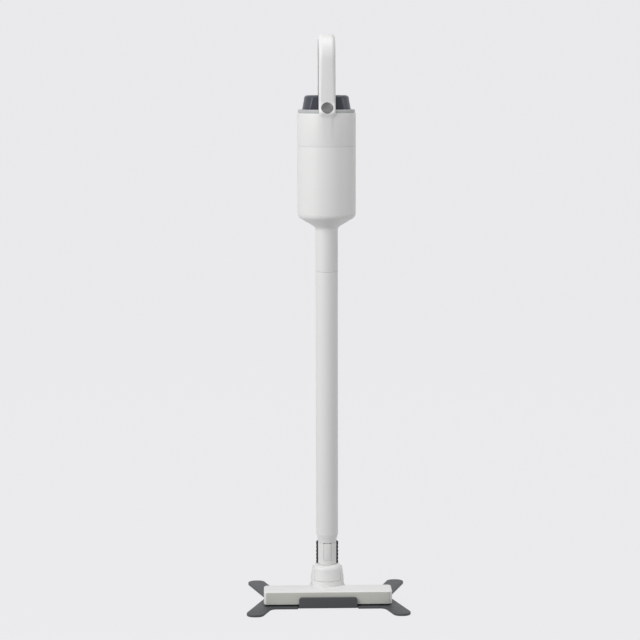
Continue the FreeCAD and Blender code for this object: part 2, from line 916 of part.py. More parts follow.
def neck_tube():
    """The air tube: a flange held inside the ball, a ring for the covers, and a long spigot."""
    body = new_body("neck_tube")
    flange_top = "ball_level + swivel_seat_rise - running_gap"
    flange_base = f"{flange_top} - neck_flange_thickness"
    flange_radius = "swivel_seat_radius - slip_gap"
    spigot_top = "wand_base + insert_rise + insert_length - neck_spigot_drop"
    inner = "neck_tube_radius - neck_tube_wall"
    corners = [
        (inner, flange_base),
        (flange_radius, flange_base),
        (flange_radius, flange_top),
        ("neck_tube_radius", flange_top),
        ("neck_tube_radius", "neck_base"),
        ("neck_ring_radius", "neck_base"),
        ("neck_ring_radius", "neck_ring_top"),
        ("neck_tube_radius", "neck_ring_top"),
        ("neck_tube_radius", spigot_top),
        (inner, spigot_top),
    ]
    turn(body, "neck_turning", corners)
    return body


def button_level():
    return "wand_base - button_top_gap - button_height"


def neck_front_cover():
    """The half-round front cover with the window for the release button."""
    height = "cover_height - running_gap"
    wall = tube("cover_wall_tube", "cover_radius", "cover_radius - cover_wall", "neck_base", height)
    front = block(
        "cover_front_half",
        ("-cover_radius", "-cover_radius - 1", "neck_base"),
        ("2 * cover_radius", "cover_radius + 1 - bearing_gap", "cover_height"),
    )
    window_height = "button_height + button_top_gap + running_gap"
    window = block(
        "button_window",
        ("-button_width / 2 - running_gap", "-2 * cover_radius", f"{button_level()} - running_gap"),
        ("button_width + 2 * running_gap", "2 * cover_radius", window_height),
    )
    return cut("neck_front_cover", common("cover_half", [wall, front]), [window])


def neck_rear_boot():
    """The ribbed rubber boot that closes the back of the neck."""
    body = new_body("boot_round")
    ribs = int(value("boot_ribs"))
    height = "(cover_height - running_gap)"
    shelf = "neck_ring_top + bearing_gap"
    corners = [
        ("neck_tube_radius + running_gap", shelf),
        ("neck_ring_radius + bearing_gap", shelf),
        ("neck_ring_radius + bearing_gap", "neck_base"),
    ]
    for i in range(ribs):
        low = f"neck_base + {height} * {i} / {ribs}"
        corners.append(("boot_radius", low))
        if i < ribs - 1:
            groove = f"{low} + {height} * boot_rib_share / {ribs}"
            corners.append(("boot_radius", groove))
            corners.append(("boot_radius - boot_groove_depth", groove))
            corners.append(("boot_radius - boot_groove_depth", f"neck_base + {height} * {i + 1} / {ribs}"))
    corners.append(("boot_radius", f"neck_base + {height}"))
    corners.append(("neck_tube_radius + running_gap", f"neck_base + {height}"))
    turn(body, "boot_turning", corners)
    rear = block(
        "boot_rear_half",
        ("-boot_radius", "bearing_gap", "neck_base"),
        ("2 * boot_radius", "boot_radius + 1", "cover_height"),
    )
    return common("neck_rear_boot", [body, rear])


def head_release_button():
    """The flush button in the neck, with a hooked tongue that holds the wand's end lip."""
    face_base = button_level()
    tongue_base = "wand_base - latch_drop"
    lip_top = "wand_base + wand_end_height"
    tongue_top = "wand_base + latch_rise"
    cover_inside = "(cover_radius - cover_wall)"
    tongue_outside = f"({cover_inside} - running_gap)"
    tongue_inside = f"{tongue_outside} - latch_thickness"

    def slice_of(name, outer, inner, low, high, width):
        shell = tube(name + "_shell", outer, inner, low, f"({high}) - ({low})")
        side = block(
            name + "_side",
            (f"-({width}) / 2", "-2 * cover_radius", low),
            (width, "2 * cover_radius", f"({high}) - ({low})"),
        )
        return common(name, [shell, side])

    face_top = f"{face_base} + button_height"
    root_outside = f"{cover_inside} + latch_root_depth"
    nose_outside = f"{tongue_outside} + latch_nose"
    nose_base = f"{lip_top} + running_gap"
    return fuse(
        "head_release_button",
        [
            slice_of("button_face", "cover_radius", cover_inside, face_base, face_top, "button_width"),
            slice_of("tongue_root", root_outside, tongue_inside, tongue_base, face_top, "latch_width"),
            slice_of("tongue", tongue_outside, tongue_inside, tongue_base, tongue_top, "latch_width"),
            slice_of("nose", nose_outside, tongue_inside, nose_base, tongue_top, "latch_width"),
        ],
    )


# ---- the wand ----


def beyond_slant(name, far_level, gap):
    """Everything on one side of the slanted joint between the wand and the dust bin."""
    body = new_body(name)
    reach = "(2 * wand_radius)"
    corners = [
        (f"-{reach}", f"wand_top - {reach} * wand_slope + {gap}"),
        (reach, f"wand_top + {reach} * wand_slope + {gap}"),
        (reach, far_level),
        (f"-{reach}", far_level),
    ]
    sketch = outline(body, name + "_outline", "YZ_Plane", corners)
    pad(body, name + "_pad", sketch, "4 * wand_radius", midplane=True)
    return body


def wand_tube():
    """The long painted tube: drawn in at the bottom end, cut on a slant at the top."""
    body = new_body("wand_stock")
    lip_top = "wand_base + wand_end_height"
    taper_top = f"{lip_top} + wand_taper_height"
    stock_top = "wand_top + wand_radius"
    corners = [
        ("wand_lip_radius", "wand_base"),
        ("wand_end_radius", "wand_base"),
        ("wand_end_radius", lip_top),
        ("wand_radius", taper_top),
        ("wand_radius", stock_top),
        ("wand_bore", stock_top),
        ("wand_bore", f"{taper_top} - wand_bore_drop"),
        ("wand_lip_radius + 2 * latch_nose", lip_top),
        ("wand_lip_radius", lip_top),
    ]
    turn(body, "wand_turning", corners)
    return cut("wand_tube", body, [beyond_slant("above_wand", "wand_top + 100", "0")])


def wand_spigot():
    """The short inner tube at the wand's top, over which the dust bin's neck slides."""
    body = new_body("wand_spigot")
    outer = "spigot_radius"
    inner = "spigot_radius - spigot_wall"
    groove = "spigot_radius - seal_depth"
    top = "wand_top + spigot_rise"
    seal_base = f"{top} - 3 * seal_height"
    corners = [
        (inner, "wand_top - spigot_depth"),
        (outer, "wand_top - spigot_depth"),
        (outer, seal_base),
        (groove, seal_base),
        (groove, f"{seal_base} + seal_height"),
        (outer, f"{seal_base} + seal_height"),
        (outer, f"{top} - 1"),
        (f"{outer} - 1", top),
        (inner, top),
    ]
    turn(body, "spigot_turning", corners)
    return body


def wand_seal():
    """The rubber ring in the spigot's groove."""
    base = "wand_top + spigot_rise - 3 * seal_height + press_gap"
    inner = "spigot_radius - seal_depth + press_gap"
    return tube("wand_seal", "cup_bore - running_gap", inner, base, "seal_height - 2 * press_gap")


# ---- the dust bin ----


def dust_cup():
    """The lower casing: slim neck, shallow cone, rounded shoulder, and a stepped rim."""
    body = new_body("cup_stock")
    low = "wand_top - wand_radius"
    corners = [
        ("cup_bore", low),
        ("wand_radius", low),
        ("wand_radius", "cup_cone_base"),
        ("cup_radius", "cup_cone_top"),
        ("cup_radius", "cup_top"),
        ("rim_inside", "cup_top"),
        ("rim_inside", "ledge_level"),
        ("cup_inside", "ledge_level"),
        ("cup_inside", "cup_cone_top + cup_floor_drop / 2"),
        ("cup_bore", "cup_cone_base + cup_floor_drop"),
    ]
    turn(body, "cup_turning", corners)
    shoulder = (value("cup_radius"), value("cup_cone_top"))
    waist = (value("wand_radius"), value("cup_cone_base"))
    round_edges(body, "cup_shoulder", "cup_shoulder_round", lambda edge: is_circle(edge, *shoulder))
    round_edges(body, "cup_waist", "cup_neck_round", lambda edge: is_circle(edge, *waist))
    return cut("dust_cup", body, [beyond_slant("below_cup", "wand_top - 100", "running_gap")])


def inlet_standpipe():
    """The inner pipe that lifts the dirt over the bin's floor, with ears for the flap's pin."""
    inner = "standpipe_radius - standpipe_wall"
    pipe = tube("standpipe_tube", "standpipe_radius", inner, "standpipe_base", "standpipe_height")
    solids = [pipe]
    bore_hub = "flap_knuckle_length / 2 + running_gap"
    for i, side in enumerate((-1, 1)):
        near = f"{side} * ({bore_hub} + flap_ear_thickness / 2) - flap_ear_thickness / 2"
        ear_rear = "flap_pin_y + flap_knuckle_radius"
        solids.append(
            block(
                f"ear_root_{i}",
                (near, "standpipe_radius - flap_ear_depth", "standpipe_top - flap_ear_drop"),
                ("flap_ear_thickness", f"{ear_rear} - standpipe_radius + flap_ear_depth", "flap_ear_drop"),
            )
        )
        solids.append(
            block(
                f"ear_tip_{i}",
                (near, "standpipe_radius + running_gap", "standpipe_top - 1"),
                (
                    "flap_ear_thickness",
                    f"{ear_rear} - standpipe_radius - running_gap",
                    "flap_pin_level + flap_knuckle_radius - standpipe_top + 1",
                ),
            )
        )
    bore_start = ("-standpipe_radius", "flap_pin_y", "flap_pin_level")
    bore = rod("ear_pin_bore", "flap_pin_radius + press_gap", "2 * standpipe_radius", bore_start, "X")
    return cut("inlet_standpipe", fuse("standpipe_solids", solids), [bore])


def inlet_flap():
    """The hinged flap that keeps the dirt in the bin when the air stops."""
    disc = rod("flap_disc", "standpipe_radius", "flap_thickness", ("0", "0", "flap_base"))
    half = "flap_knuckle_length / 2"
    tab = block(
        "flap_tab",
        (f"-{half}", "standpipe_radius - flap_tab_depth", "flap_base"),
        ("flap_knuckle_length", "flap_pin_y - standpipe_radius + flap_tab_depth", "flap_thickness"),
    )
    pin_start = (f"-{half}", "flap_pin_y", "flap_pin_level")
    knuckle = rod("flap_knuckle", "flap_knuckle_radius", "flap_knuckle_length", pin_start, "X")
    bore = rod("flap_bore", "flap_pin_radius + bearing_gap", "flap_knuckle_length", pin_start, "X")
    return cut("inlet_flap", fuse("flap_solids", [disc, tab, knuckle]), [bore])


def flap_pin():
    """The flap's steel hinge pin."""
    half = "(flap_knuckle_length / 2 + running_gap + flap_ear_thickness)"
    start = (f"-{half}", "flap_pin_y", "flap_pin_level")
    return rod("flap_pin", "flap_pin_radius", f"2 * {half}", start, "X")


# ---- the filter ----


def filter_frame():
    """A flange that hangs in the cup's rim, and below it a cage with windows all round."""
    body = new_body("filter_frame")
    cage_inside = "cage_radius - cage_wall"
    corners = [
        ("0", "cage_base"),
        ("cage_radius", "cage_base"),
        ("cage_radius", "ledge_level"),
        ("rim_inside - running_gap", "ledge_level"),
        ("rim_inside - running_gap", "flange_top"),
        (cage_inside, "flange_top"),
        (cage_inside, "cage_base + cage_wall"),
        ("0", "cage_base + cage_wall"),
    ]
    turn(body, "frame_turning", corners)
    window = rectangle("cage_window_width / 2", "cage_base + cage_foot", "ledge_level - cage_head")
    sketch = outline(body, "window_outline", "XZ_Plane", window)
    cutter = pocket(body, "window", sketch, "cage_radius + 1")
    around(body, "windows", cutter, "cage_windows")
    return body


def mesh_screen():
    """The fine screen wrapped round the cage."""
    inner = "cage_radius + bearing_gap"
    low, height = "cage_base + screen_inset", "filter_drop - 2 * screen_inset"
    return tube("mesh_screen", f"{inner} + screen_thickness", inner, low, height)


def pleated_filter():
    """A folded paper filter: a zigzag band, closed into a ring inside the cage."""
    count = int(value("pleat_count"))
    low = value("cage_base + cage_wall")
    high = value("flange_top")

    def star(outer, inner):
        """A prism whose outline folds out and in all the way round."""
        places = []
        for i in range(2 * count + 1):
            angle = math.pi * i / count
            radius = inner if i % 2 else outer
            places.append(Vector(radius * math.cos(angle), radius * math.sin(angle), low))
        return Part.Face(Part.makePolygon(places)).extrude(Vector(0, 0, high - low))

    thickness = value("pleat_thickness")
    outer_radius = value("pleat_outer_radius")
    inner_radius = value("pleat_inner_radius")
    outside = star(outer_radius, inner_radius + thickness)
    inside = star(outer_radius - thickness, inner_radius)
    return shaped("pleated_filter", outside.cut(inside))


def filter_seal():
    """The rubber ring between the filter's flange and the motor unit."""
    outer = "rim_inside - running_gap"
    height = "casing_base - running_gap - flange_top"
    return tube("filter_seal", outer, f"{outer} - filter_seal_width", "flange_top", height)


# ---- the motor unit ----


def strap_legs(body, name, outer, inner, half_width, front, rear):
    """Half a hoop over the deck, with a straight or shaped leg at the front and at the back."""
    hoop = [
        (f"-({half_width})", f"-({outer})"),
        (half_width, f"-({outer})"),
        (half_width, f"-({inner})"),
        (f"-({half_width})", f"-({inner})"),
    ]
    feature = body.newObject("PartDesign::Revolution", name + "_hoop")
    feature.Profile = outline(body, name + "_section", "XY_Plane", hoop, "arch_level")
    feature.ReferenceAxis = (feature.Profile[0], ["H_Axis"])
    feature.Angle = 180
    feature.Reversed = True
    doc.recompute()
    for label, corners in (("front", front), ("rear", rear)):
        sketch = outline(body, f"{name}_{label}_outline", "YZ_Plane", corners)
        pad(body, f"{name}_{label}_leg", sketch, f"2 * ({half_width})", midplane=True)


def handle_strap():
    """The handle: a hoop whose front foot swells forward to carry the round power button."""
    body = new_body("handle_strap")
    half = "strap_width / 2"
    front = [
        ("-strap_inside", "arch_level"),
        ("-arch_radius", "arch_level"),
        ("-arch_radius", "foot_top"),
        ("-cup_radius - foot_chin_proud", "chin_level"),
        ("-cup_radius - foot_chin_proud", "chin_level - foot_chin_height"),
        ("-cup_radius + foot_root_depth", "foot_root"),
        ("-strap_inside", "foot_root"),
    ]
    rear = [
        ("strap_inside", "arch_level"),
        ("strap_inside", "foot_root"),
        ("cup_radius - foot_root_depth", "foot_root"),
        ("cup_radius", "deck_base"),
        ("arch_radius", "foot_top"),
        ("arch_radius", "arch_level"),
    ]
    strap_legs(body, "strap", "arch_radius", "strap_inside", half, front, rear)
    side = value(half)
    inside = value("strap_inside")

    def on_outer_side(point):
        return abs(abs(point.x) - side) < 0.01

    def outer_edge(edge):
        if not ends_at(edge, on_outer_side) or edge.BoundBox.XLength > 0.01:
            return False
        middle = edge.valueAt((edge.FirstParameter + edge.LastParameter) / 2)
        if middle.z < value("foot_root") + 0.1:
            return False
        reach = math.hypot(middle.y, max(0, middle.z - value("arch_level")))
        return reach > inside + 2

    round_edges(body, "strap_rounding", "strap_outer_round", outer_edge)
    return body


def power_axis():
    """Where the power button's face meets its axis, and the way that it faces."""
    top = Vector(0, -value("arch_radius"), value("foot_top"))
    chin = Vector(0, -value("cup_radius + foot_chin_proud"), value("chin_level"))
    along = chin.sub(top)
    facing = Vector(0, along.z, -along.y)
    facing.normalize()
    centre = top.add(chin).multiply(0.5)
    return centre, facing


def tilted_rod(name, radius, depth, length):
    """A cylinder on the power button's axis: its outer end is at depth, and it runs inwards."""
    centre, facing = power_axis()
    inwards = facing.multiply(-1)
    item = doc.addObject("Part::Cylinder", name)
    bind(item, Radius=radius, Height=length)
    start = centre.add(Vector(inwards).multiply(value(depth)))
    item.Placement = Placement(start, Rotation(Vector(0, 0, 1), inwards))
    return item


def upper_casing():
    """The motor unit's shell, moulded in one with the handle, and vented at the back."""
    body = new_body("casing_round")
    corners = [
        ("casing_flange_radius", "casing_base"),
        ("cup_radius", "casing_base"),
        ("cup_radius", "casing_top"),
        ("casing_inside", "casing_top"),
        ("casing_inside", "casing_floor"),
        ("casing_flange_radius", "casing_floor"),
    ]
    turn(body, "casing_turning", corners)
    rim = (value("cup_radius"), value("casing_top"))
    round_edges(body, "casing_rim", "casing_edge_round", lambda edge: is_circle(edge, *rim))
    whole = fuse("casing_with_handle", [body, handle_strap()])
    pocket_length = "power_pocket_depth + power_radius"
    tools = [
        tilted_rod("power_pocket", "power_radius + slip_gap", "-power_radius", pocket_length),
        tilted_rod("switch_pocket", "switch_radius + running_gap", "0", "power_pocket_depth + switch_height"),
        rod(
            "inlet_pocket",
            "inlet_radius + press_gap",
            "inlet_depth + 4",
            ("0", "cup_radius - inlet_depth", "casing_top - inlet_drop"),
            "Y",
        ),
    ]
    middle = (value("vent_count") - 1) / 2
    for i in range(int(value("vent_count"))):
        slot = doc.addObject("Part::Box", f"vent_{i}")
        bind(slot, Length="vent_width", Width="4 * casing_wall", Height="vent_height")
        inner, low = value("casing_inside - casing_wall"), value("casing_base + vent_rise")
        start = Vector(-value("vent_width / 2"), inner, low)
        spin = Rotation(Vector(0, 0, 1), value("vent_pitch") * (i - middle))
        slot.Placement = Placement(spin.multVec(start), spin)
        tools.append(slot)
    return cut("upper_casing", whole, tools)


def handle_grip():
    """The soft lining on the finger side of the handle."""
    body = new_body("handle_grip")
    half = "strap_width / 2 - grip_inset"
    legs = []
    for side in (-1, 1):
        legs.append(
            [
                (f"{side} * grip_inside", "arch_level"),
                (f"{side} * grip_inside", "foot_top + grip_foot_rise"),
                (f"{side} * strap_inside", "foot_top + grip_foot_rise - grip_thickness"),
                (f"{side} * strap_inside", "arch_level"),
            ]
        )
    strap_legs(body, "grip", "strap_inside", "grip_inside", half, *legs)
    return body


def battery_plan(name, radius, flat, low, height, top_radius=None):
    """A block with the battery's outline, a circle with two flats; its round sides may lean inwards."""
    if top_radius:
        round_part = doc.addObject("Part::Cone", name + "_round")
        bind(round_part, Radius1=radius, Radius2=top_radius, Height=height)
        placed(round_part, "0", "0", low)
    else:
        round_part = rod(name + "_round", radius, height, ("0", "0", low))
    flats = block(
        name + "_flats",
        (f"-({radius}) - 1", f"-({flat})", low),
        (f"2 * ({radius}) + 2", f"2 * ({flat})", height),
    )
    return common(name, [round_part, flats])


def battery_deck():
    """The collar under the battery, with the well that the battery's lower part stands in."""
    body = new_body("deck_round")
    radius = "cup_radius - deck_inset"
    skirt = "casing_inside - press_gap"
    corners = [
        ("0", "deck_base"),
        (f"{skirt} - well_wall", "deck_base"),
        (f"{skirt} - well_wall", "deck_base - deck_height"),
        (skirt, "deck_base - deck_height"),
        (skirt, "deck_base"),
        (radius, "deck_base"),
        (radius, "deck_top"),
        ("0", "deck_top"),
    ]
    turn(body, "deck_turning", corners)
    rim = (value(radius), value("deck_top"))
    round_edges(body, "deck_rim", "deck_edge_round", lambda edge: is_circle(edge, *rim))
    wall = "slip_gap + well_wall"
    floor = "well_floor - well_wall"
    outer = (f"tub_radius + {wall}", f"tub_flat_y + {wall}")
    basin = battery_plan("well_outside", *outer, floor, f"deck_top - 1 - ({floor})")
    inner = ("tub_radius + slip_gap", "tub_flat_y + slip_gap")
    tools = [battery_plan("well_inside", *inner, "well_floor", "well_depth + 2")]
    leg_depth = "(cup_radius - strap_inside)"
    for i, side in enumerate((-1, 1)):
        tools.append(
            block(
                f"strap_notch_{i}",
                (
                    "-strap_width / 2 - running_gap",
                    f"{side} * (strap_inside + cup_radius) / 2 - {leg_depth} / 2 - running_gap",
                    "foot_root - 1",
                ),
                (
                    "strap_width + 2 * running_gap",
                    f"{leg_depth} + 2 * running_gap",
                    "foot_root_drop + 2",
                ),
            )
        )
    tools += contact_slots("contact_slot", f"{floor} - 1", "well_wall + 2")
    return cut("battery_deck", fuse("deck_solids", [body, basin]), tools)


def contact_places():
    return [f"{i} * contact_pitch" for i in (-1, 0, 1)]


def contact_slots(name, low, height):
    """Clear slots for the battery's blades."""
    slots = []
    for i, x in enumerate(contact_places()):
        side, front = f"{x} - contact_thickness / 2 - running_gap", "-contact_width / 2 - running_gap"
        size = ("contact_thickness + 2 * running_gap", "contact_width + 2 * running_gap", height)
        slots.append(block(f"{name}_{i}", (side, front, low), size))
    return slots


def terminal_block():
    """The socket under the well that the battery's blades plug into."""
    top = "well_floor - well_wall"
    height = "contact_length"
    base = f"{top} - {height}"
    housing = block(
        "terminal_housing",
        ("-contact_pitch - contact_width", "-contact_width", base),
        ("2 * contact_pitch + 2 * contact_width", "2 * contact_width", height),
    )
    return cut("terminal_block", housing, contact_slots("terminal_slot", f"{base} + 1", height))


def power_button():
    """The round button with a dished face and a stem that presses the switch."""
    face = tilted_rod("power_face", "power_radius", "power_sunk", "power_depth")
    stem_length = "power_pocket_depth - power_depth - power_travel - running_gap"
    stem = tilted_rod("power_stem", "switch_radius / 2", "power_depth", stem_length)
    centre, facing = power_axis()
    half = value("power_radius - power_rim")
    dish = value("power_dish")
    dish_radius = (half * half + dish * dish) / (2 * dish)
    hollow = doc.addObject("Part::Sphere", "power_hollow")
    hollow.Radius = dish_radius
    reach = dish_radius - dish - value("power_sunk")
    hollow.Placement = Placement(centre.add(Vector(facing).multiply(reach)), Rotation())
    return cut("power_button", fuse("power_solid", [face, stem]), [hollow])


def power_switch():
    """The small switch at the bottom of the button's pocket."""
    return tilted_rod("power_switch", "switch_radius", "power_pocket_depth", "switch_height")


def charging_inlet():
    """The round charging socket at the back: a sleeve with a centre pin."""
    length = "inlet_depth - 1"
    start = ("0", "cup_radius - inlet_depth", "casing_top - inlet_drop")
    sleeve = rod("inlet_sleeve", "inlet_radius", length, start, "Y")
    bore_start = ("0", "cup_radius - inlet_depth + inlet_floor", "casing_top - inlet_drop")
    bore = rod("inlet_bore", "inlet_radius - inlet_wall", "inlet_depth", bore_start, "Y")
    pin = rod("inlet_pin", "inlet_pin_radius", f"{length} - 1", start, "Y")
    return fuse("charging_inlet", [cut("inlet_cup", sleeve, [bore]), pin])


def motor_mount():
    """The rubber ring that the motor stands on."""
    outer, inner = "motor_can_radius + mount_flange", "motor_can_radius - mount_lip"
    return tube("motor_mount", outer, inner, "casing_floor", "mount_thickness")


def motor_housing():
    """The motor's can: open at its eye below, windows round its top, and a bearing boss."""
    body = new_body("motor_housing")
    inside = "motor_can_radius - motor_can_wall"
    boss = "bearing_radius + motor_can_wall"
    corners = [
        ("motor_eye_radius", "motor_base"),
        ("motor_can_radius", "motor_base"),
        ("motor_can_radius", "motor_top"),
        ("shaft_radius + 1", "motor_top"),
        ("shaft_radius + 1", "motor_top - motor_can_wall"),
        ("bearing_radius + press_gap", "motor_top - motor_can_wall"),
        ("bearing_radius + press_gap", "upper_bearing_base"),
        (boss, "upper_bearing_base"),
        (boss, "motor_top - motor_can_wall"),
        (inside, "motor_top - motor_can_wall"),
        (inside, "motor_base + motor_can_wall"),
        ("motor_eye_radius", "motor_base + motor_can_wall"),
    ]
    turn(body, "can_turning", corners)
    low = "diffuser_base + diffuser_thickness + 1"
    window = rectangle("can_window_width / 2", low, "motor_top - 2 * motor_can_wall")
    sketch = outline(body, "can_window_outline", "XZ_Plane", window)
    cutter = pocket(body, "can_window", sketch, "motor_can_radius + 1")
    around(body, "can_windows", cutter, "can_windows")
    return body


def motor_shaft():
    """The shaft, from the impeller up to the top bearing."""
    return rod("motor_shaft", "shaft_radius", "motor_top - 1 - impeller_base", ("0", "0", "impeller_base"))


def impeller():
    """A backplate and hub with backward-curved blades, open towards the eye below."""
    top = "impeller_base + impeller_height"
    plate_start = ("0", "0", f"{top} - impeller_plate")
    plate = rod("impeller_plate_disc", "impeller_radius", "impeller_plate", plate_start)
    hub = rod("impeller_hub", "impeller_hub_radius", "impeller_height", ("0", "0", "impeller_base"))
    count = int(value("blade_count"))
    arc = value("blade_arc_radius")
    thickness = value("blade_thickness")
    low = value("impeller_base")
    height = value("impeller_height - impeller_plate / 2")
    inner = value("impeller_hub_radius") - 1
    sector = Part.makeCylinder(value("impeller_radius"), height, Vector(0, 0, low))
    blades = []
    for i in range(count):
        centre = Vector(inner + arc, 0, low)
        curved = Part.makeCylinder(arc + thickness / 2, height, centre)
        curved = curved.cut(Part.makeCylinder(arc - thickness / 2, height, centre))
        half = Part.makeBox(4 * arc, 2 * arc, height, Vector(0, 0, low))
        blade = curved.common(half).common(sector)
        blade.rotate(Vector(), Vector(0, 0, 1), 360 * i / count)
        blades.append(blade)
    fan = shaped("impeller_blades", Part.makeCompound(blades))
    bore_start = ("0", "0", "impeller_base - 1")
    bore = rod("impeller_bore", "shaft_radius + press_gap", "impeller_height + 2", bore_start)
    return cut("impeller", fuse("impeller_solid", [plate, hub, fan]), [bore])


def rotor_magnet():
    """The magnet ring on the shaft, inside the stator."""
    return tube(
        "rotor_magnet",
        "magnet_radius",
        "shaft_radius + press_gap",
        "diffuser_base + diffuser_thickness + stator_gap",
        "magnet_height",
    )


def motor_stator():
    """The laminated ring with slots for its windings."""
    base = "diffuser_base + diffuser_thickness + stator_gap"
    stack = tube("stator_ring", "stator_outer_radius", "stator_inner_radius", base, "magnet_height")
    slots = []
    count = int(value("stator_slots"))
    for i in range(count):
        slot = doc.addObject("Part::Box", f"stator_slot_{i}")
        slot.Length = value("stator_outer_radius - stator_back - stator_inner_radius - stator_lip")
        slot.Width = value("stator_slot_width")
        slot.Height = value("magnet_height") + 2
        inner = value("stator_inner_radius + stator_lip")
        start = Vector(inner, -value("stator_slot_width / 2"), value(base) - 1)
        spin = Rotation(Vector(0, 0, 1), 360 * i / count)
        slot.Placement = Placement(spin.multVec(start), spin)
        slots.append(slot)
    return cut("motor_stator", stack, slots)


def motor_bearings():
    """Two ball bearings: one in the diffuser and one in the can's boss."""
    rings = []
    for i, low in enumerate(("diffuser_base", "upper_bearing_base")):
        inner = "shaft_radius + bearing_gap"
        rings.append(tube(f"bearing_{i}", "bearing_radius", inner, low, "bearing_height"))
    return group("motor_bearings", rings)


def diffuser():
    """The slotted plate above the impeller that turns the air upwards."""
    plate = tube(
        "diffuser_plate",
        "motor_can_radius - motor_can_wall - press_gap",
        "bearing_radius + press_gap",
        "diffuser_base",
        "diffuser_thickness",
    )
    count = int(value("diffuser_vanes"))
    slots = []
    for i in range(count):
        slot = doc.addObject("Part::Box", f"diffuser_slot_{i}")
        slot.Length = value("motor_can_radius - diffuser_rim - impeller_radius + diffuser_overlap")
        slot.Width = value("diffuser_slot_width")
        slot.Height = value("diffuser_thickness") + 2
        near = value("impeller_radius - diffuser_overlap")
        start = Vector(near, -value("diffuser_slot_width / 2"), value("diffuser_base") - 1)
        spin = Rotation(Vector(0, 0, 1), 360 * i / count)
        slot.Placement = Placement(spin.multVec(start), spin)
        slots.append(slot)
    return cut("diffuser", plate, slots)


def control_board():
    """The circuit board that stands at the front of the casing."""
    return block(
        "control_board",
        ("-board_width / 2", "-board_y - board_thickness", "casing_floor"),
        ("board_width", "board_thickness", "board_height"),
    )


def exhaust_foam():
    """A strip of foam behind the vents."""
    outer = "(casing_inside - running_gap)"
    band = tube("foam_ring", outer, f"{outer} - foam_thickness", "casing_floor", "foam_height")
    rear = block(
        "foam_rear",
        ("-casing_inside", "casing_inside / 2", "casing_floor"),
        ("2 * casing_inside", "casing_inside", "foam_height"),
    )
    return common("exhaust_foam", [band, rear])


# ---- the battery ----


def battery_tub():
    """The lower part of the pack, which stands in the well: an open tray."""
    outside = battery_plan("tub_outside", "tub_radius", "tub_flat_y", "tub_base", "well_depth")
    inner = ("tub_radius - battery_wall", "tub_flat_y - battery_wall")
    inside = battery_plan("tub_inside", *inner, "tub_base + battery_wall", "well_depth")
    return cut("battery_tub", outside, [inside])


def battery_cover():
    """The visible top of the pack, tapered and well rounded, open below."""
    outer = ("battery_radius", "battery_flat_y", "deck_top", "battery_height", "battery_top_radius")
    form = battery_plan("cover_form", *outer)
    doc.recompute()
    top = value("battery_top")
    rounding = value("battery_edge_round")
    rounded = doc.addObject("Part::Fillet", "cover_rounded")
    rounded.Base = form
    rounded.Edges = [
        (i, rounding, rounding)
        for i, edge in enumerate(form.Shape.Edges, start=1)
        if ends_at(edge, lambda p: abs(p.z - top) < 0.01)
    ]
    inner = ("tub_radius - battery_wall", "tub_flat_y - battery_wall", "deck_top - 1", "cover_hollow + 1")
    lean = "(battery_radius - battery_top_radius) * cover_hollow / battery_height"
    inside = battery_plan("cover_inside", *inner, f"battery_radius - {lean} - battery_wall")
    return cut("battery_cover", rounded, [inside])


def battery_cells():
    """Four cylindrical cells, lying crosswise two by two."""
    cells = []
    low = "tub_base + battery_wall + cell_radius"
    for i in (-1, 1):
        for j in (0, 1):
            start = ("-cell_length / 2", f"{i} * cell_pitch / 2", f"{low} + {j} * cell_pitch")
            cells.append(rod(f"cell_{i + 1}_{j}", "cell_radius", "cell_length", start, "X"))
    return group("battery_cells", cells)


def battery_contacts():
    """Three blades under the pack."""
    blades = []
    for i, x in enumerate(contact_places()):
        length = "contact_length - 1"
        base = f"tub_base - ({length})"
        blades.append(
            block(
                f"blade_{i}",
                (f"{x} - contact_thickness / 2", "-contact_width / 2", base),
                ("contact_thickness", "contact_width", length),
            )
        )
    return group("battery_contacts", blades)


def wand_insert():
    """The plastic sleeve inside the wand's lower end that grips the neck's spigot."""
    low = "wand_base + insert_rise"
    inner = "neck_tube_radius + bearing_gap"
    return tube("wand_insert", "wand_bore - bearing_gap", inner, low, "insert_length")


def build():
    fill_sheet()
    pieces = [
        stand_plate(),
        stand_pads(),
        head_upper_shell(),
        head_sole_plate(),
        head_lint_strips(),
        head_screws(),
        wheel_axles(),
        head_wheel("head_wheel_left", -1),
        head_wheel("head_wheel_right", 1),
        pivot_pins(),
        *ball_shells(),
        neck_tube(),
        neck_front_cover(),
        neck_rear_boot(),
        head_release_button(),
        wand_tube(),
        wand_insert(),
        wand_spigot(),
        wand_seal(),
        dust_cup(),
        inlet_standpipe(),
        inlet_flap(),
        flap_pin(),
        filter_frame(),
        mesh_screen(),
        pleated_filter(),
        filter_seal(),
        upper_casing(),
        handle_grip(),
        battery_deck(),
        terminal_block(),
        power_button(),
        power_switch(),
        charging_inlet(),
        motor_mount(),
        motor_housing(),
        motor_shaft(),
        impeller(),
        rotor_magnet(),
        motor_stator(),
        motor_bearings(),
        diffuser(),
        control_board(),
        exhaust_foam(),
        battery_tub(),
        battery_cover(),
        battery_cells(),
        battery_contacts(),
    ]
    doc.recompute()
    return pieces


def check(pieces):
    """Stop before anything is written if a feature failed or a piece has no sound shape."""
    for item in doc.Objects:
        if "Invalid" in item.State or "Error" in item.State:
            raise RuntimeError(f"{item.Name} is {item.State}")
    for piece in pieces:
        if piece.Shape.isNull() or not piece.Shape.isValid() or not piece.Shape.Solids:
            raise RuntimeError(f"{piece.Label} has no valid solid")


def write(pieces):
    os.makedirs("parts", exist_ok=True)
    for piece in pieces:
        piece.Shape.exportStep(f"parts/{piece.Label}.step")


parts = build()
check(parts)
write(parts)
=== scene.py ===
import math

import bmesh
import bpy
from mathutils import Matrix, Quaternion, Vector


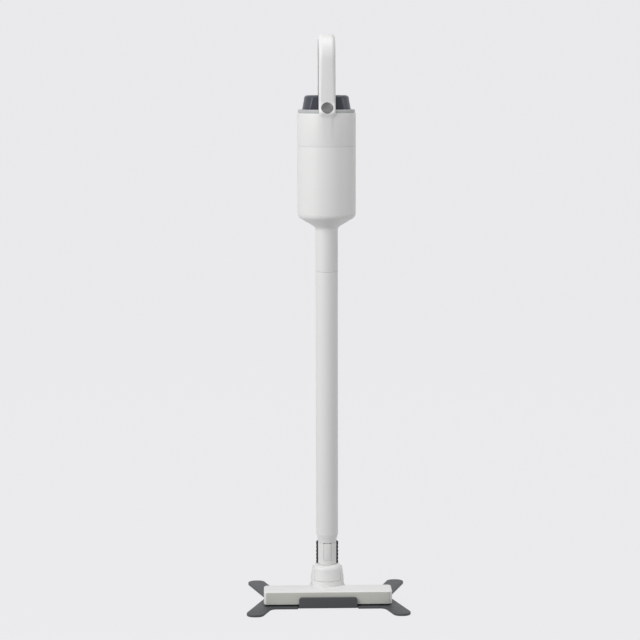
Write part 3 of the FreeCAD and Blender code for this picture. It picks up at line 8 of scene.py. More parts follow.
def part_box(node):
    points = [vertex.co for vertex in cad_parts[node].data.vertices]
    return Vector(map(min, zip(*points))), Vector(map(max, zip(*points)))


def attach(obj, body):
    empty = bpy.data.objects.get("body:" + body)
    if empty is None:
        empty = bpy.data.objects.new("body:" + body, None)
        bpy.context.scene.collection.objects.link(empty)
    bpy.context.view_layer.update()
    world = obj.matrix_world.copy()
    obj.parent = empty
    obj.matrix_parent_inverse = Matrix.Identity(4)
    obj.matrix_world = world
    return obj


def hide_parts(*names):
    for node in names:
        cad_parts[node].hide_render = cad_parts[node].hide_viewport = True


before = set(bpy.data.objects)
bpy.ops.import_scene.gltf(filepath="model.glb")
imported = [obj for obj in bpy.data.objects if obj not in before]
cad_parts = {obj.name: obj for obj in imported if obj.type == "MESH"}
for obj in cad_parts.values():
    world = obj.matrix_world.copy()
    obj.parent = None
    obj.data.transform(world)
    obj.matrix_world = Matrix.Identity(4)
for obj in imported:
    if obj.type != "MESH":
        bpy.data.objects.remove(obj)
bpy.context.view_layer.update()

# ---- the stand ----
# A cross cut from 4 mm steel sheet with rounded toes, folded once so that a lip stands up in front of the
# floor head. Its edges are tumbled soft and the whole is powder coated in matt dark grey.
MM = 0.001


def soft_corners(corners, step=9, fixed=None):
    """The closed outline through (x, y, radius) corners, each rounded by an arc of its own radius.
    Arcs have a point every few degrees, or a fixed number of parts."""
    points = []
    for i, (x, y, radius) in enumerate(corners):
        here = Vector((x, y))
        if radius == 0:
            points.append(here)
            continue
        back = (Vector(corners[i - 1][:2]) - here).normalized()
        on = (Vector(corners[(i + 1) % len(corners)][:2]) - here).normalized()
        half = back.angle(on) / 2
        centre = here + (back + on).normalized() * radius / math.sin(half)
        start = here + back * radius / math.tan(half) - centre
        end = here + on * radius / math.tan(half) - centre
        first = math.atan2(start.y, start.x)
        sweep = (math.atan2(end.y, end.x) - first + math.pi) % (2 * math.pi) - math.pi
        parts = fixed or max(2, math.ceil(abs(math.degrees(sweep)) / step - 0.1))
        for k in range(parts + 1):
            angle = first + sweep * k / parts
            points.append(centre + radius * Vector((math.cos(angle), math.sin(angle))))
    return points


def drawn_in(outline, depth):
    """The same outline drawn in by a depth, point for point."""
    moved = []
    for i, here in enumerate(outline):
        back = (here - outline[i - 1]).normalized()
        on = (outline[(i + 1) % len(outline)] - here).normalized()
        inward = Vector((-back.y - on.y, back.x + on.x)).normalized()
        moved.append(here + inward * depth / max(0.4, inward.dot(Vector((-on.y, on.x)))))
    return moved


def lofted(rings, joined=False):
    """A skin over rings of points, closed by a face at each end, or joined from last to first."""
    shape = bmesh.new()
    loops = [[shape.verts.new(point) for point in ring] for ring in rings]
    pairs = list(zip(loops, loops[1:]))
    if joined:
        pairs.append((loops[-1], loops[0]))
    else:
        shape.faces.new(reversed(loops[0]))
        shape.faces.new(loops[-1])
    count = len(loops[0])
    for low, high in pairs:
        for i in range(count):
            j = (i + 1) % count
            shape.faces.new((low[i], low[j], high[j], high[i]))
    bmesh.ops.recalc_face_normals(shape, faces=shape.faces)
    return shape


def rim_steps(radius, steps):
    """(depth, rise) pairs round a quarter turn, from the wall towards the flat."""
    if radius == 0:
        return [(0, 0)]
    angles = [math.pi / 2 * k / steps for k in range(steps + 1)]
    return [(radius * (1 - math.cos(a)), radius * math.sin(a)) for a in angles]


def slab(outline, under, top, under_round=0.0, top_round=0.0, steps=4):
    """An outline given thickness, with its two rims rounded."""
    rings = []
    for depth, rise in reversed(rim_steps(under_round, steps)):
        rings.append([(x, y, under + under_round - rise) for x, y in drawn_in(outline, depth)])
    for depth, rise in rim_steps(top_round, steps):
        rings.append([(x, y, top - top_round + rise) for x, y in drawn_in(outline, depth)])
    return lofted(rings)


def make_piece(name, shape, crease=38):
    """A shape as a named piece: smooth faces with sharp creases."""
    bmesh.ops.recalc_face_normals(shape, faces=shape.faces)
    mesh = bpy.data.meshes.new(name)
    shape.to_mesh(mesh)
    shape.free()
    piece = bpy.data.objects.new(name, mesh)
    bpy.context.scene.collection.objects.link(piece)
    smooth(piece, crease)
    return piece


def smooth(piece, crease=38):
    """Smooth shading everywhere except over creases sharper than an angle."""
    mesh = piece.data
    mesh.polygons.foreach_set("use_smooth", [True] * len(mesh.polygons))
    mesh.set_sharp_from_angle(angle=math.radians(crease))


def surface(name, colour, roughness, relief, depth, drift=0.03, gloss_drift=0.08, metal=0.0):
    """A finish: its relief gives the bump, and slow clouds move its tone and its gloss a little."""
    material = bpy.data.materials.new(name)
    material.use_nodes = True
    tree = material.node_tree
    shader = tree.nodes["Principled BSDF"]
    shader.inputs["Metallic"].default_value = metal
    place = tree.nodes.new("ShaderNodeTexCoord").outputs["Object"]
    height = relief(tree, place)
    bump = tree.nodes.new("ShaderNodeBump")
    bump.inputs["Strength"].default_value = 1.0
    bump.inputs["Distance"].default_value = depth
    tree.links.new(height, bump.inputs["Height"])
    tree.links.new(bump.outputs["Normal"], shader.inputs["Normal"])
    cloud = grain(22, 3)(tree, place)
    tone = tree.nodes.new("ShaderNodeMix")
    tone.data_type = "RGBA"
    tree.links.new(cloud, tone.inputs["Factor"])
    tone.inputs["A"].default_value = (*[c * (1 - drift) for c in colour], 1)
    tone.inputs["B"].default_value = (*[min(1, c * (1 + drift)) for c in colour], 1)
    tree.links.new(tone.outputs["Result"], shader.inputs["Base Color"])
    gloss = tree.nodes.new("ShaderNodeMapRange")
    gloss.inputs["To Min"].default_value = roughness * (1 - gloss_drift)
    gloss.inputs["To Max"].default_value = roughness * (1 + gloss_drift)
    tree.links.new(grain(75, 2)(tree, place), gloss.inputs["Value"])
    tree.links.new(gloss.outputs["Result"], shader.inputs["Roughness"])
    return material


def grain(scale, detail=2.0, stretch=(1, 1, 1)):
    """Relief like fine moulding or spray texture; scale is grains to the metre."""

    def build(tree, place):
        spread = tree.nodes.new("ShaderNodeMapping")
        spread.inputs["Scale"].default_value = stretch
        tree.links.new(place, spread.inputs["Vector"])
        noise = tree.nodes.new("ShaderNodeTexNoise")
        noise.inputs["Scale"].default_value = scale
        noise.inputs["Detail"].default_value = detail
        tree.links.new(spread.outputs["Vector"], noise.inputs["Vector"])
        return noise.outputs["Fac"]

    return build


low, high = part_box("stand_plate")
sheet = 4 * MM
sheet_under = low.z
sheet_top = sheet_under + sheet
waist = high.y - 44 * MM
lip_half, relief_gap = 50 * MM, 1.5 * MM
bend_inside = 1.5 * MM
bend_line = -waist + sheet + bend_inside
bend_length = (bend_inside + sheet / 2) * math.pi / 2
tab_end = bend_line - bend_length - (high.z - sheet_top - bend_inside)
# Corners in millimetres with their rounding: the right side, and the inner edge of one foot.
toe_round, crotch_round = 13, 12
quarter = [(113, 105, toe_round), (97.3, 61, crotch_round)]
right_side = [(145, -105, toe_round), (107.5, 0, 3), (145, 105, toe_round)]
corners = [(x * MM, y * MM, r * MM) for x, y, r in right_side + quarter]
corners += [(-x, y, r) for x, y, r in reversed(corners)]
corners += [(-x * MM, -y * MM, r * MM) for x, y, r in quarter]
# The tab that becomes the lip, with a relief cut beside its root.
tab = [
    (lip_half + relief_gap, -waist, 0.4 * MM),
    (lip_half + relief_gap, bend_line, 0.6 * MM),
    (lip_half, bend_line, 0.6 * MM),
    (lip_half, tab_end, 4.5 * MM),
]
corners += [(-x, y, r) for x, y, r in tab]
corners += list(reversed(tab))
corners += [(x * MM, -y * MM, r * MM) for x, y, r in reversed(quarter)]
blank = slab(soft_corners(corners), sheet_under, sheet_top, 0.4 * MM, 0.7 * MM, 3)
bend_parts = 8
for k in range(bend_parts + 1):
    cut = (0, bend_line - bend_length * k / bend_parts, 0)
    parts = blank.verts[:] + blank.edges[:] + blank.faces[:]
    bmesh.ops.bisect_plane(blank, geom=parts, plane_co=cut, plane_no=(0, 1, 0))
axis_level = sheet_top + bend_inside
for vert in blank.verts:
    along = bend_line - vert.co.y
    if along > 0 and abs(vert.co.x) < lip_half + 0.1 * MM:
        bent = min(1, along / bend_length) * math.pi / 2
        arm = axis_level - vert.co.z
        rise = max(0, along - bend_length)
        vert.co.y = bend_line - arm * math.sin(bent)
        vert.co.z = axis_level - arm * math.cos(bent) + rise
stand = make_piece("stand_cross", blank)
powder_coat = surface("powder_coat", (0.058, 0.062, 0.067), 0.5, grain(1400, 3), 0.00006, 0.06, 0.12)
stand.data.materials.append(powder_coat)
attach(stand, "stand")
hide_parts("stand_plate")


# Four round rubber pads, let into the underside near the end of each foot. They keep their own shape.
def dress(node, material):
    """Give a part that keeps its own shape its finish."""
    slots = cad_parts[node].data.materials
    slots.clear()
    slots.append(material)


black_rubber = surface("black_rubber", (0.018, 0.018, 0.019), 0.75, grain(900, 4), 0.00005, 0.1)
rubber_shader = black_rubber.node_tree.nodes["Principled BSDF"]
rubber_shader.inputs["Specular IOR Level"].default_value = 0.25
dress("stand_pads", black_rubber)

# ---- the floor head ----
# The head's upper shell is one moulding: a slim hollow bar over a black sole, and behind its middle a round
# socket, notched for the tilt, with two ears that carry the ball. The bar's lower edge is raised off the
# head's base so that the black sole shows as a dark line under it, which stands in for the shade under the
# bar.
def carve(piece, tool, operation="DIFFERENCE"):
    """Cut a tool shape out of a piece, or weld it on, and drop the tool."""
    shape = make_piece("tool", tool)
    modifier = piece.modifiers.new("carve", "BOOLEAN")
    modifier.operation = operation
    modifier.solver = "EXACT"
    modifier.object = shape
    result = bpy.data.meshes.new_from_object(piece.evaluated_get(bpy.context.evaluated_depsgraph_get()))
    piece.modifiers.clear()
    result.name = piece.data.name
    piece.data = result
    bpy.data.objects.remove(shape)


def rectangle(half_width, near, far, radius):
    """A rectangle's corners, centred across, with one radius."""
    across = ((-1, near), (1, near), (1, far), (-1, far))
    return [(side * half_width, y, radius) for side, y in across]


def rounds(levels, steps=96):
    """Circles stacked up the stick's axis, from (radius, level) pairs."""
    angles = [2 * math.pi * k / steps for k in range(steps)]
    return [[(r * math.cos(a), r * math.sin(a), z) for a in angles] for r, z in levels]


def turned(profile, steps=128, start=0.0, sweep=360.0):
    """A closed outline of (radius, level) points turned about the stick's axis, whole or in part."""
    whole = abs(sweep) >= 360
    angles = [math.radians(start + sweep * k / steps) for k in range(steps if whole else steps + 1)]
    rings = [[(r * math.cos(a), r * math.sin(a), z) for r, z in profile] for a in angles]
    return lofted(rings, joined=whole)


def turned_over(shape, matrix):
    """A shape moved or turned before it is used."""
    bmesh.ops.transform(shape, matrix=matrix, verts=shape.verts)
    return shape


low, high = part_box("head_upper_shell")
head_base = low.z
bar_top = head_base + 24 * MM
bar_back = low.y + 43 * MM
pins_low, pins_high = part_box("pivot_pins")
ball_centre = (pins_low.z + pins_high.z) / 2
wall = 2.4 * MM
# Painted shade: the bar's lower edge is raised this much so that the black sole shows as a dark line in
# place of the shade under the bar.
sole_shown_as_shade = 1.8 * MM
bar_foot = head_base + sole_shown_as_shade
plan = soft_corners(rectangle(high.x, low.y, bar_back, 7 * MM))
head = make_piece("head_shell", slab(plan, bar_foot, bar_top, 0.8 * MM, 2 * MM, 5))
socket_radius, socket_round = 28.9 * MM, 0.3 * MM
# The socket's foot flares out into the bar: (radius, rise) in millimetres.
flare = [(32, 0), (32, 19), (31.2, 20.1), (30.1, 21.2), (29.3, 22.5), (28.95, 24), (28.9, 25.5)]
drum = [(r * MM, head_base + z * MM) for r, z in flare]
socket_rim = ball_centre - 0.5 * MM
drum_top = socket_rim - socket_round
drum += [(socket_radius - d, drum_top + rise) for d, rise in rim_steps(socket_round, 3)]
carve(head, lofted(rounds(drum, 128)), "UNION")
bell_radius, bell_top_radius, bell_top = 28.5 * MM, 25.2 * MM, ball_centre + 26 * MM
bell_side = [(bell_radius, socket_rim + 3 * MM, 14 * MM), (bell_top_radius, bell_top, 8 * MM)]


def upright(half_width, half_depth):
    """A tall block about the stick's axis, that takes in the socket and the ball."""
    corners = [(half_width * i, half_depth * j) for i, j in ((-1, -1), (1, -1), (1, 1), (-1, 1))]
    return slab([Vector(corner) for corner in corners], head_base, bell_top + MM)


along_pins = Matrix.Translation((0, 0, ball_centre)) @ Matrix.Rotation(math.radians(90), 4, "Y")
beyond_socket = 32 * MM


def pin_rod(radius, steps=96):
    """A rod along the pins, right through the socket."""
    ends = [(radius, -beyond_socket), (radius, beyond_socket)]
    return turned_over(lofted(rounds(ends, steps)), along_pins)


axis_hair = 0.1 * MM
ear_base, ear_reach, ear_half_depth, ear_gap = head_base + MM, 21.5 * MM, 16.5 * MM, 0.12 * MM
bell_outline = soft_corners([(bell_radius, ear_base, 0)] + bell_side + [(0, bell_top, 0)], 5)
bell = [(axis_hair, ear_base)] + [tuple(point) for point in bell_outline][:-1] + [(axis_hair, bell_top)]
ears = make_piece("ears", lofted(rounds(bell, 128)))
carve(ears, upright(40 * MM, ear_half_depth), "INTERSECT")
carve(ears, pin_rod(ear_reach), "INTERSECT")
cheek = 22 * MM
carve(ears, upright(cheek + ear_gap, 40 * MM))
ear_shape = bmesh.new()
ear_shape.from_mesh(ears.data)
bpy.data.objects.remove(ears)
carve(head, ear_shape, "UNION")
channel = rectangle(high.x - wall, low.y + wall, bar_back - wall, 4 * MM)
carve(head, slab(soft_corners(channel), head_base - MM, bar_top - wall, 0, MM))


def flat_sided_ball(radius, half_width, parts=40):
    """A ball with two flat cheeks."""
    slices = [half_width * (-1 + 2 * k / parts) for k in range(parts + 1)]
    ball = lofted(rounds([(math.sqrt(radius**2 - x**2), x) for x in slices], 96))
    return turned_over(ball, along_pins)


ball_radius, ball_gap, ear_bore = 27.4 * MM, 0.3 * MM, 2.52 * MM
carve(head, flat_sided_ball(ball_radius + ball_gap, cheek + ball_gap))
lay_back = Matrix.Rotation(math.radians(90), 4, "X")
notch = rectangle(19 * MM, head_base + 18 * MM, ball_centre + 20 * MM, 3 * MM)
carve(head, turned_over(slab(soft_corners(notch), -40 * MM, -6 * MM), lay_back))
carve(head, pin_rod(ear_bore, 32))
smooth(head)
white = (0.8, 0.8, 0.79)
white_plastic = surface("white_plastic", white, 0.42, grain(1800, 2), 0.00002, 0.012, 0.1)
head.data.materials.append(white_plastic)
# Faces turned to the front below the bar's top get a warm, darker grey: the warm tint is the bar's own, the
# darkening is painted shade on its front face.
painted_shade_grey = surface("front_painted_shade_plastic", (0.58, 0.58, 0.54), 0.42, grain(1800, 2), 0.00002, 0.012)
head.data.materials.append(painted_shade_grey)
# Painted shade: the front-facing faces take the darker grey.
for face in head.data.polygons:
    in_front = face.normal.y < -0.75 and face.center.y < low.y + MM
    if in_front and face.center.z < bar_top - MM:
        face.material_index = 1
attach(head, "floor_head")
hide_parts("head_upper_shell")


# The sole closes the bar from below. Two brush strips sit in its grooves before and behind the mouth, four
# blackened screws hold it, and two rubber-tyred wheels turn on steel pins in its brackets.
def strands(scale, stretch):
    """Relief like hairs or brushed lines that run along one way."""
    return grain(scale, 4, stretch)


black_plastic = surface("black_plastic", (0.028, 0.028, 0.03), 0.5, grain(1500, 3), 0.00004, 0.08)
dress("head_sole_plate", black_plastic)
bristle = surface("bristle", (0.075, 0.075, 0.08), 0.85, strands(2600, (1, 1, 0.06)), 0.0006, 0.3)
dress("head_lint_strips", bristle)
fine_lines = strands(900, (1, 1, 1))
screw_steel = surface("screw_steel", (0.22, 0.22, 0.23), 0.38, fine_lines, 0.00002, 0.1, 0.2, metal=1.0)
dress("head_screws", screw_steel)
round_lines = strands(700, (0.08, 1, 1))
pin_steel = surface("pin_steel", (0.62, 0.62, 0.63), 0.26, round_lines, 0.00001, 0.05, 0.25, metal=1.0)
for node in ("wheel_axles", "pivot_pins"):
    dress(node, pin_steel)
for node in ("head_wheel_left", "head_wheel_right"):
    dress(node, black_rubber)


# ---- the ball and the neck ----
# The ball is moulded in a front and a rear half that meet on a fine line. Flat cheeks run between the
# socket's ears, and a round turret on top holds the neck's flange.
def arc(radius, centre_level, first, last, steps=24):
    """Points of a circle round a centre on the axis, from one angle above level to another."""
    angles = [math.radians(first + (last - first) * k / steps) for k in range(steps + 1)]
    return [(radius * math.cos(a), centre_level + radius * math.sin(a)) for a in angles]


turret_radius, opening = 18 * MM, 9.7 * MM
seat_top, seat_radius, neck_bore = bell_top - 3.5 * MM, 15.8 * MM, 11.3 * MM
ball_wall, cheek_wall, ball_bore = 3.6 * MM, 2.6 * MM, 2.55 * MM


def up_angle(radius, reach):
    """How far above level, in degrees, a ball of a radius has narrowed to a reach."""
    return math.degrees(math.acos(reach / radius))


under = arc(ball_radius, ball_centre, -up_angle(ball_radius, opening), -0.5, 32)
bell_foot = [(bell_radius, socket_rim + 0.15 * MM, 0.2 * MM)]
dome = under + soft_corners(bell_foot + bell_side + [(neck_bore, bell_top, 0)], 5)
over = arc(ball_radius, ball_centre, 0, up_angle(ball_radius, turret_radius) - 1.5, 24)
turret = under + over + [(turret_radius + 0.15 * MM, over[-1][1] + 1.1 * MM)]
turret += [(turret_radius - d, bell_top - MM + rise) for d, rise in rim_steps(MM, 4)]
turret.append((neck_bore, bell_top))
bores = [(neck_bore, seat_top), (seat_radius, seat_top), (seat_radius, ball_centre), (opening, ball_centre)]
seam = 0.15
for name, start, profile in (("ball_front_shell", 180 + seam, dome), ("ball_rear_shell", seam, turret)):
    half = turned(profile + bores, 72, start, 180 - 2 * seam)
    for side in (-1, 1):
        parts = half.verts[:] + half.edges[:] + half.faces[:]
        trimmed = bmesh.ops.bisect_plane(
            half, geom=parts, plane_co=(side * cheek, 0, 0), plane_no=(side, 0, 0), clear_outer=True
        )
        rim = [item for item in trimmed["geom_cut"] if isinstance(item, bmesh.types.BMEdge)]
        bmesh.ops.contextual_create(half, geom=rim)
    shell = make_piece(name.replace("_shell", "_half"), half)
    carve(shell, flat_sided_ball(ball_radius - ball_wall, cheek - cheek_wall))
    carve(shell, pin_rod(ball_bore, 32))
    smooth(shell)
    shell.data.materials.append(white_plastic)
    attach(shell, "tilt_ball")
    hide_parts(name)

# The neck's air tube stays as it is, in black. Its front is closed by a half-round white cover with an open
# window for the release button, and its back by a thick ribbed rubber boot.
dress("neck_tube", black_plastic)
low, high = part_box("neck_front_cover")
neck_base, cover_top = low.z, high.z
wand_base = cover_top + 0.3 * MM
cover_radius, cover_bore = 16 * MM, 14 * MM
cover_corners = [(cover_bore, neck_base, 0.2 * MM), (cover_radius, neck_base, 0.6 * MM)]
cover_corners += [(cover_radius, cover_top, 0.6 * MM), (cover_bore, cover_top, 0.2 * MM)]
cover = make_piece("neck_cover", turned(soft_corners(cover_corners), 72, 180.2, 179.6))
button_width, button_height, button_gap = 13.2 * MM, 29.2 * MM, 0.3 * MM
button_top = wand_base - MM
button_foot = button_top - button_height
window = rectangle(button_width / 2 + 0.1 * MM, button_foot - button_gap, button_top + 20 * MM, 1.4 * MM)
carve(cover, turned_over(slab(soft_corners(window), 8 * MM, 24 * MM), lay_back))
smooth(cover)
cover.data.materials.append(white_plastic)
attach(cover, "wand")
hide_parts("neck_front_cover")

boot_radius, rib_count, groove = 19.2 * MM, 6, 0.8 * MM
rib = (cover_top - neck_base) / rib_count
boot_bore, flange_radius, flange_top = 11.3 * MM, 14.03 * MM, neck_base + 2.25 * MM
boot_corners = [(boot_bore, flange_top, 0), (flange_radius, flange_top, 0), (flange_radius, neck_base, 0)]
for i in range(rib_count):
    foot = neck_base + rib * i
    boot_corners.append((boot_radius, foot, 0.7 * MM))
    if i < rib_count - 1:
        boot_corners.append((boot_radius, foot + rib * 0.7, 0.7 * MM))
        boot_corners.append((boot_radius - groove, foot + rib * 0.72, 0.4 * MM))
        boot_corners.append((boot_radius - groove, foot + rib * 0.98, 0.4 * MM))
boot_corners += [(boot_radius, cover_top, 1.2 * MM), (boot_bore, cover_top, 0)]
boot = make_piece("neck_boot", turned(soft_corners(boot_corners, 18), 72, 0.2, 179.6))
boot.data.materials.append(black_rubber)
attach(boot, "wand")
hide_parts("neck_rear_boot")


# The release button is a curved plate, flush in the cover's window. A tongue behind it reaches up into the
# wand and hooks over the lip at the wand's end.
def wrapped(outline, inner, outer, inner_round=0.0, outer_round=0.0):
    """A plate cut flat from (across, level) points, then bent round the stick's axis to face the front."""
    plate = slab(outline, inner, outer, inner_round, outer_round, 3)
    widest = max(x for x, z in outline)
    for k in range(-8, 9):
        cut = (widest * k / 9, 0, 0)
        parts = plate.verts[:] + plate.edges[:] + plate.faces[:]
        bmesh.ops.bisect_plane(plate, geom=parts, plane_co=cut, plane_no=(1, 0, 0))
    for vert in plate.verts:
        angle, reach = vert.co.x / outer, vert.co.z
        vert.co = Vector((reach * math.sin(angle), -reach * math.cos(angle), vert.co.y))
    bmesh.ops.recalc_face_normals(plate, faces=plate.faces)
    return plate


face = soft_corners(rectangle(button_width / 2, button_foot, button_top, 1.3 * MM))
button = make_piece("head_button", wrapped(face, cover_bore, cover_radius, 0.0, 0.12 * MM))
tongue_half = 4 * MM
root = soft_corners(rectangle(tongue_half, wand_base - 6 * MM, button_top - 0.6 * MM, 0.3 * MM))
carve(button, wrapped(root, 12.6 * MM, 14.4 * MM), "UNION")
tongue = soft_corners(rectangle(tongue_half, wand_base - 5.9 * MM, wand_base + 8 * MM, 0.3 * MM))
carve(button, wrapped(tongue, 12.58 * MM, 13.7 * MM), "UNION")
nose = soft_corners(rectangle(tongue_half, wand_base + 3.6 * MM, wand_base + 7.98 * MM, 0.3 * MM))
carve(button, wrapped(nose, 12.7 * MM, 14.6 * MM, 0.0, 0.3 * MM), "UNION")
smooth(button)
button.data.materials.append(white_plastic)
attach(button, "head_release")
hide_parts("head_release_button")

# ---- the wand ----
# A 38 mm steel tube, drawn in at its lower end, cut on a slant where it meets the dust bin, and enamelled
# white. A plastic sleeve lines its lower end; a spigot with a rubber ring stands out of its upper end.
low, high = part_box("wand_tube")
wand_radius, wand_bore, slant, slant_reach = 19 * MM, 17 * MM, 0.167, 24 * MM
wand_top = high.z - slant * wand_radius
lip_bore, collar_radius, collar_top = 14.1 * MM, 16.1 * MM, low.z + 3.3 * MM


def slanted(shape, near, far):
    """A turned shape with its end at one level tipped to the slant, and the rest left as it is."""
    for vert in shape.verts:
        share = min(1, max(0, (vert.co.z - near) / (far - near)))
        vert.co.z += slant * vert.co.y * share
    return shape


wand_corners = [
    (lip_bore, low.z, 0.5 * MM),
    (collar_radius, low.z, 0.8 * MM),
    (collar_radius, collar_top, 3 * MM),
    (wand_radius, low.z + 13.9 * MM, 14 * MM),
    (wand_radius, wand_top - slant_reach, 0),
    (wand_radius, wand_top, 0.5 * MM),
    (wand_bore, wand_top, 0.4 * MM),
    (wand_bore, wand_top - slant_reach, 0),
    (wand_bore, low.z + 11.9 * MM, 2 * MM),
    (15.9 * MM, collar_top, 0.3 * MM),
    (lip_bore, collar_top, 0.3 * MM),
]
tube = turned(soft_corners(wand_corners), 128)
wand = make_piece("wand_pipe", slanted(tube, wand_top - slant_reach, wand_top - MM))
white_enamel = surface("white_enamel", white, 0.36, grain(420, 2), 0.00003, 0.012, 0.12)
wand.data.materials.append(white_enamel)
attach(wand, "wand")
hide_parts("wand_tube")
for node in ("wand_insert", "wand_spigot"):
    dress(node, black_plastic)
dress("wand_seal", black_rubber)

# ---- the dust bin ----
# The bin is one thin white moulding: a slim neck that slides over the wand's spigot, a shallow cone, a soft
# shoulder, and a stepped rim that carries the filter. Inside stands a pipe with a rubber flap on a pin.
low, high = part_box("dust_cup")
cup_radius, cup_top = high.x, high.z
neck_end = low.z + slant * wand_radius
cone_foot, cone_top = wand_top + 72.5 * MM, wand_top + 91 * MM
slip_bore, rim_bore, cup_bore = 17.4 * MM, cup_radius - 2.2 * MM, cup_radius - 3.4 * MM
ledge, slant_end = cup_top - 5.5 * MM, neck_end + slant_reach
cup_corners = [
    (slip_bore, neck_end, 0.4 * MM),
    (wand_radius, neck_end, 0.5 * MM),
    (wand_radius, slant_end, 0),
    (wand_radius, cone_foot, 7 * MM),
    (cup_radius, cone_top, 10 * MM),
    (cup_radius, cup_top, 0.15 * MM),
    (rim_bore, cup_top, 0.4 * MM),
    (rim_bore, ledge, 0.2 * MM),
    (cup_bore, ledge, 0.2 * MM),
    (cup_bore, cone_top + 1.3 * MM, 8 * MM),
    (slip_bore, cone_foot + 2.6 * MM, 5 * MM),
    (slip_bore, slant_end, 0),
]
cup = turned(soft_corners(cup_corners, 5), 160)
for vert in cup.verts:
    share = min(1, max(0, (slant_end - vert.co.z) / (slant_reach - MM)))
    vert.co.z += slant * vert.co.y * share
bin_piece = make_piece("dust_bin_cup", cup)
bin_piece.data.materials.append(white_plastic)
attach(bin_piece, "dust_bin")
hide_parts("dust_cup")
dress("inlet_standpipe", black_plastic)
dress("flap_pin", pin_steel)
dress("inlet_flap", black_rubber)


# The filter lifts out of the bin's rim: a black cage with a woven steel screen round it, a ring of folded
# paper inside, and a rubber seal on its flange.
def weave(scale):
    """Relief of two sets of wires that cross."""

    def build(tree, place):
        sets = []
        for way in ("X", "Z"):
            band = tree.nodes.new("ShaderNodeTexWave")
            band.bands_direction = way
            band.inputs["Scale"].default_value = scale
            tree.links.new(place, band.inputs["Vector"])
            sets.append(band.outputs["Fac"])
        crossed = tree.nodes.new("ShaderNodeMath")
        crossed.operation = "MAXIMUM"
        tree.links.new(sets[0], crossed.inputs[0])
        tree.links.new(sets[1], crossed.inputs[1])
        return crossed.outputs[0]

    return build


dress("filter_frame", black_plastic)
filter_mesh = surface("filter_mesh", (0.56, 0.56, 0.57), 0.35, weave(260), 0.0003, 0.1, 0.1, metal=1.0)
dress("mesh_screen", filter_mesh)
folds = strands(700, (1, 1, 0.3))
dress("pleated_filter", surface("filter_paper", (0.84, 0.83, 0.78), 0.9, folds, 0.0002, 0.05))
dress("filter_seal", black_rubber)

# ---- the motor unit ----
# Casing and hoop handle are one white moulding. The hoop's front foot swells out of the casing to carry the
# power button; its back foot flares into the wall over a block of upright vents and the charging socket.
low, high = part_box("upper_casing")
casing_base, deck_top = low.z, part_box("battery_deck")[1].z
casing_top = casing_base + 55 * MM
casing_radius, casing_bore = cup_radius, cup_radius - 2.2 * MM
skirt, skirt_bore = 0.3 * MM, casing_radius - 1.8 * MM
base_bore, base_top = 34 * MM, casing_base + 3 * MM
casing_corners = [
    (base_bore, casing_base, 0.3 * MM),
    (skirt_bore, casing_base, 0),
    (skirt_bore, casing_base - skirt, 0),
    (casing_radius, casing_base - skirt, 0.15 * MM),
    (casing_radius, casing_top, 1.5 * MM),
    (casing_bore, casing_top, 0.3 * MM),
    (casing_bore, base_top, 0.5 * MM),
    (base_bore, base_top, 0.3 * MM),
]
casing = make_piece("casing_and_handle", turned(soft_corners(casing_corners, 15), 160))
hoop_outer, hoop_inner, strap_half, finger_round = 44 * MM, 35 * MM, 14.1 * MM, 0.6 * MM
hoop_level = high.z - hoop_outer
foot_top, chin_level = deck_top + 10.5 * MM, deck_top - 3.5 * MM
chin_reach = casing_radius + 4 * MM
foot_root = deck_top - 19 * MM


def soft_line(corners):
    """An open line through (across, level, rounding) points: the ends stay as they are."""
    far = 10.0
    closed = corners + [(far, corners[-1][1], 0), (far, corners[0][1], 0)]
    return soft_corners(closed, 6)[:-2]


def strap_ring(inner, outer, half_width, inner_round, outer_round, steps=6):
    """One section of a band, from its inner to its outer point (both y, z), with rounded corners."""
    inner, outer = Vector(inner), Vector(outer)
    depth = (outer - inner).length
    out = (outer - inner) / depth
    corners = [(-half_width, 0, inner_round), (half_width, 0, inner_round)]
    corners += [(half_width, depth, outer_round), (-half_width, depth, outer_round)]
    section = soft_corners(corners, 90 / steps)
    return [(x, inner.x + out.x * t, inner.y + out.y * t) for x, t in section]


def arch(inner, outer, half_width, inner_round, outer_round, parts=48):
    """The sections of a band over the hoop's half turn, without the two at its ends."""
    sections = []
    for k in range(1, parts):
        a = math.pi * (1 - k / parts)
        near = (inner * math.cos(a), hoop_level + inner * math.sin(a))
        far = (outer * math.cos(a), hoop_level + outer * math.sin(a))
        sections.append(strap_ring(near, far, half_width, inner_round, outer_round))
    return sections


front_line = soft_line(
    [
        (-casing_radius + MM, foot_root, 0),
        (-casing_radius - 0.6 * MM, foot_root + 7 * MM, 12 * MM),
        (-chin_reach, chin_level - 1.5 * MM, 5 * MM),
        (-hoop_outer, foot_top, 8 * MM),
        (-hoop_outer, hoop_level, 0),
    ]
)
back_line = soft_line(
    [
        (casing_radius - MM, foot_root, 0),
        (casing_radius - 0.4 * MM, foot_root + 6 * MM, 6 * MM),
        (hoop_outer, foot_top, 14 * MM),
        (hoop_outer, hoop_level, 0),
    ]
)


def rounding_at(level):
    """The hoop's edges are crisper at its feet than over the arch, and melt into the casing below."""
    over = min(1, max(0, (level - foot_top) / (20 * MM)))
    under = min(1, max(0, (chin_level - level) / (12 * MM)))
    return (4.5 + 2.5 * over + 5 * under) * MM


def hoop_foot(line, inner):
    """The sections of one of the hoop's feet, from its inner face out to a line."""
    return [strap_ring((inner, z), (y, z), strap_half, finger_round, rounding_at(z)) for y, z in line]


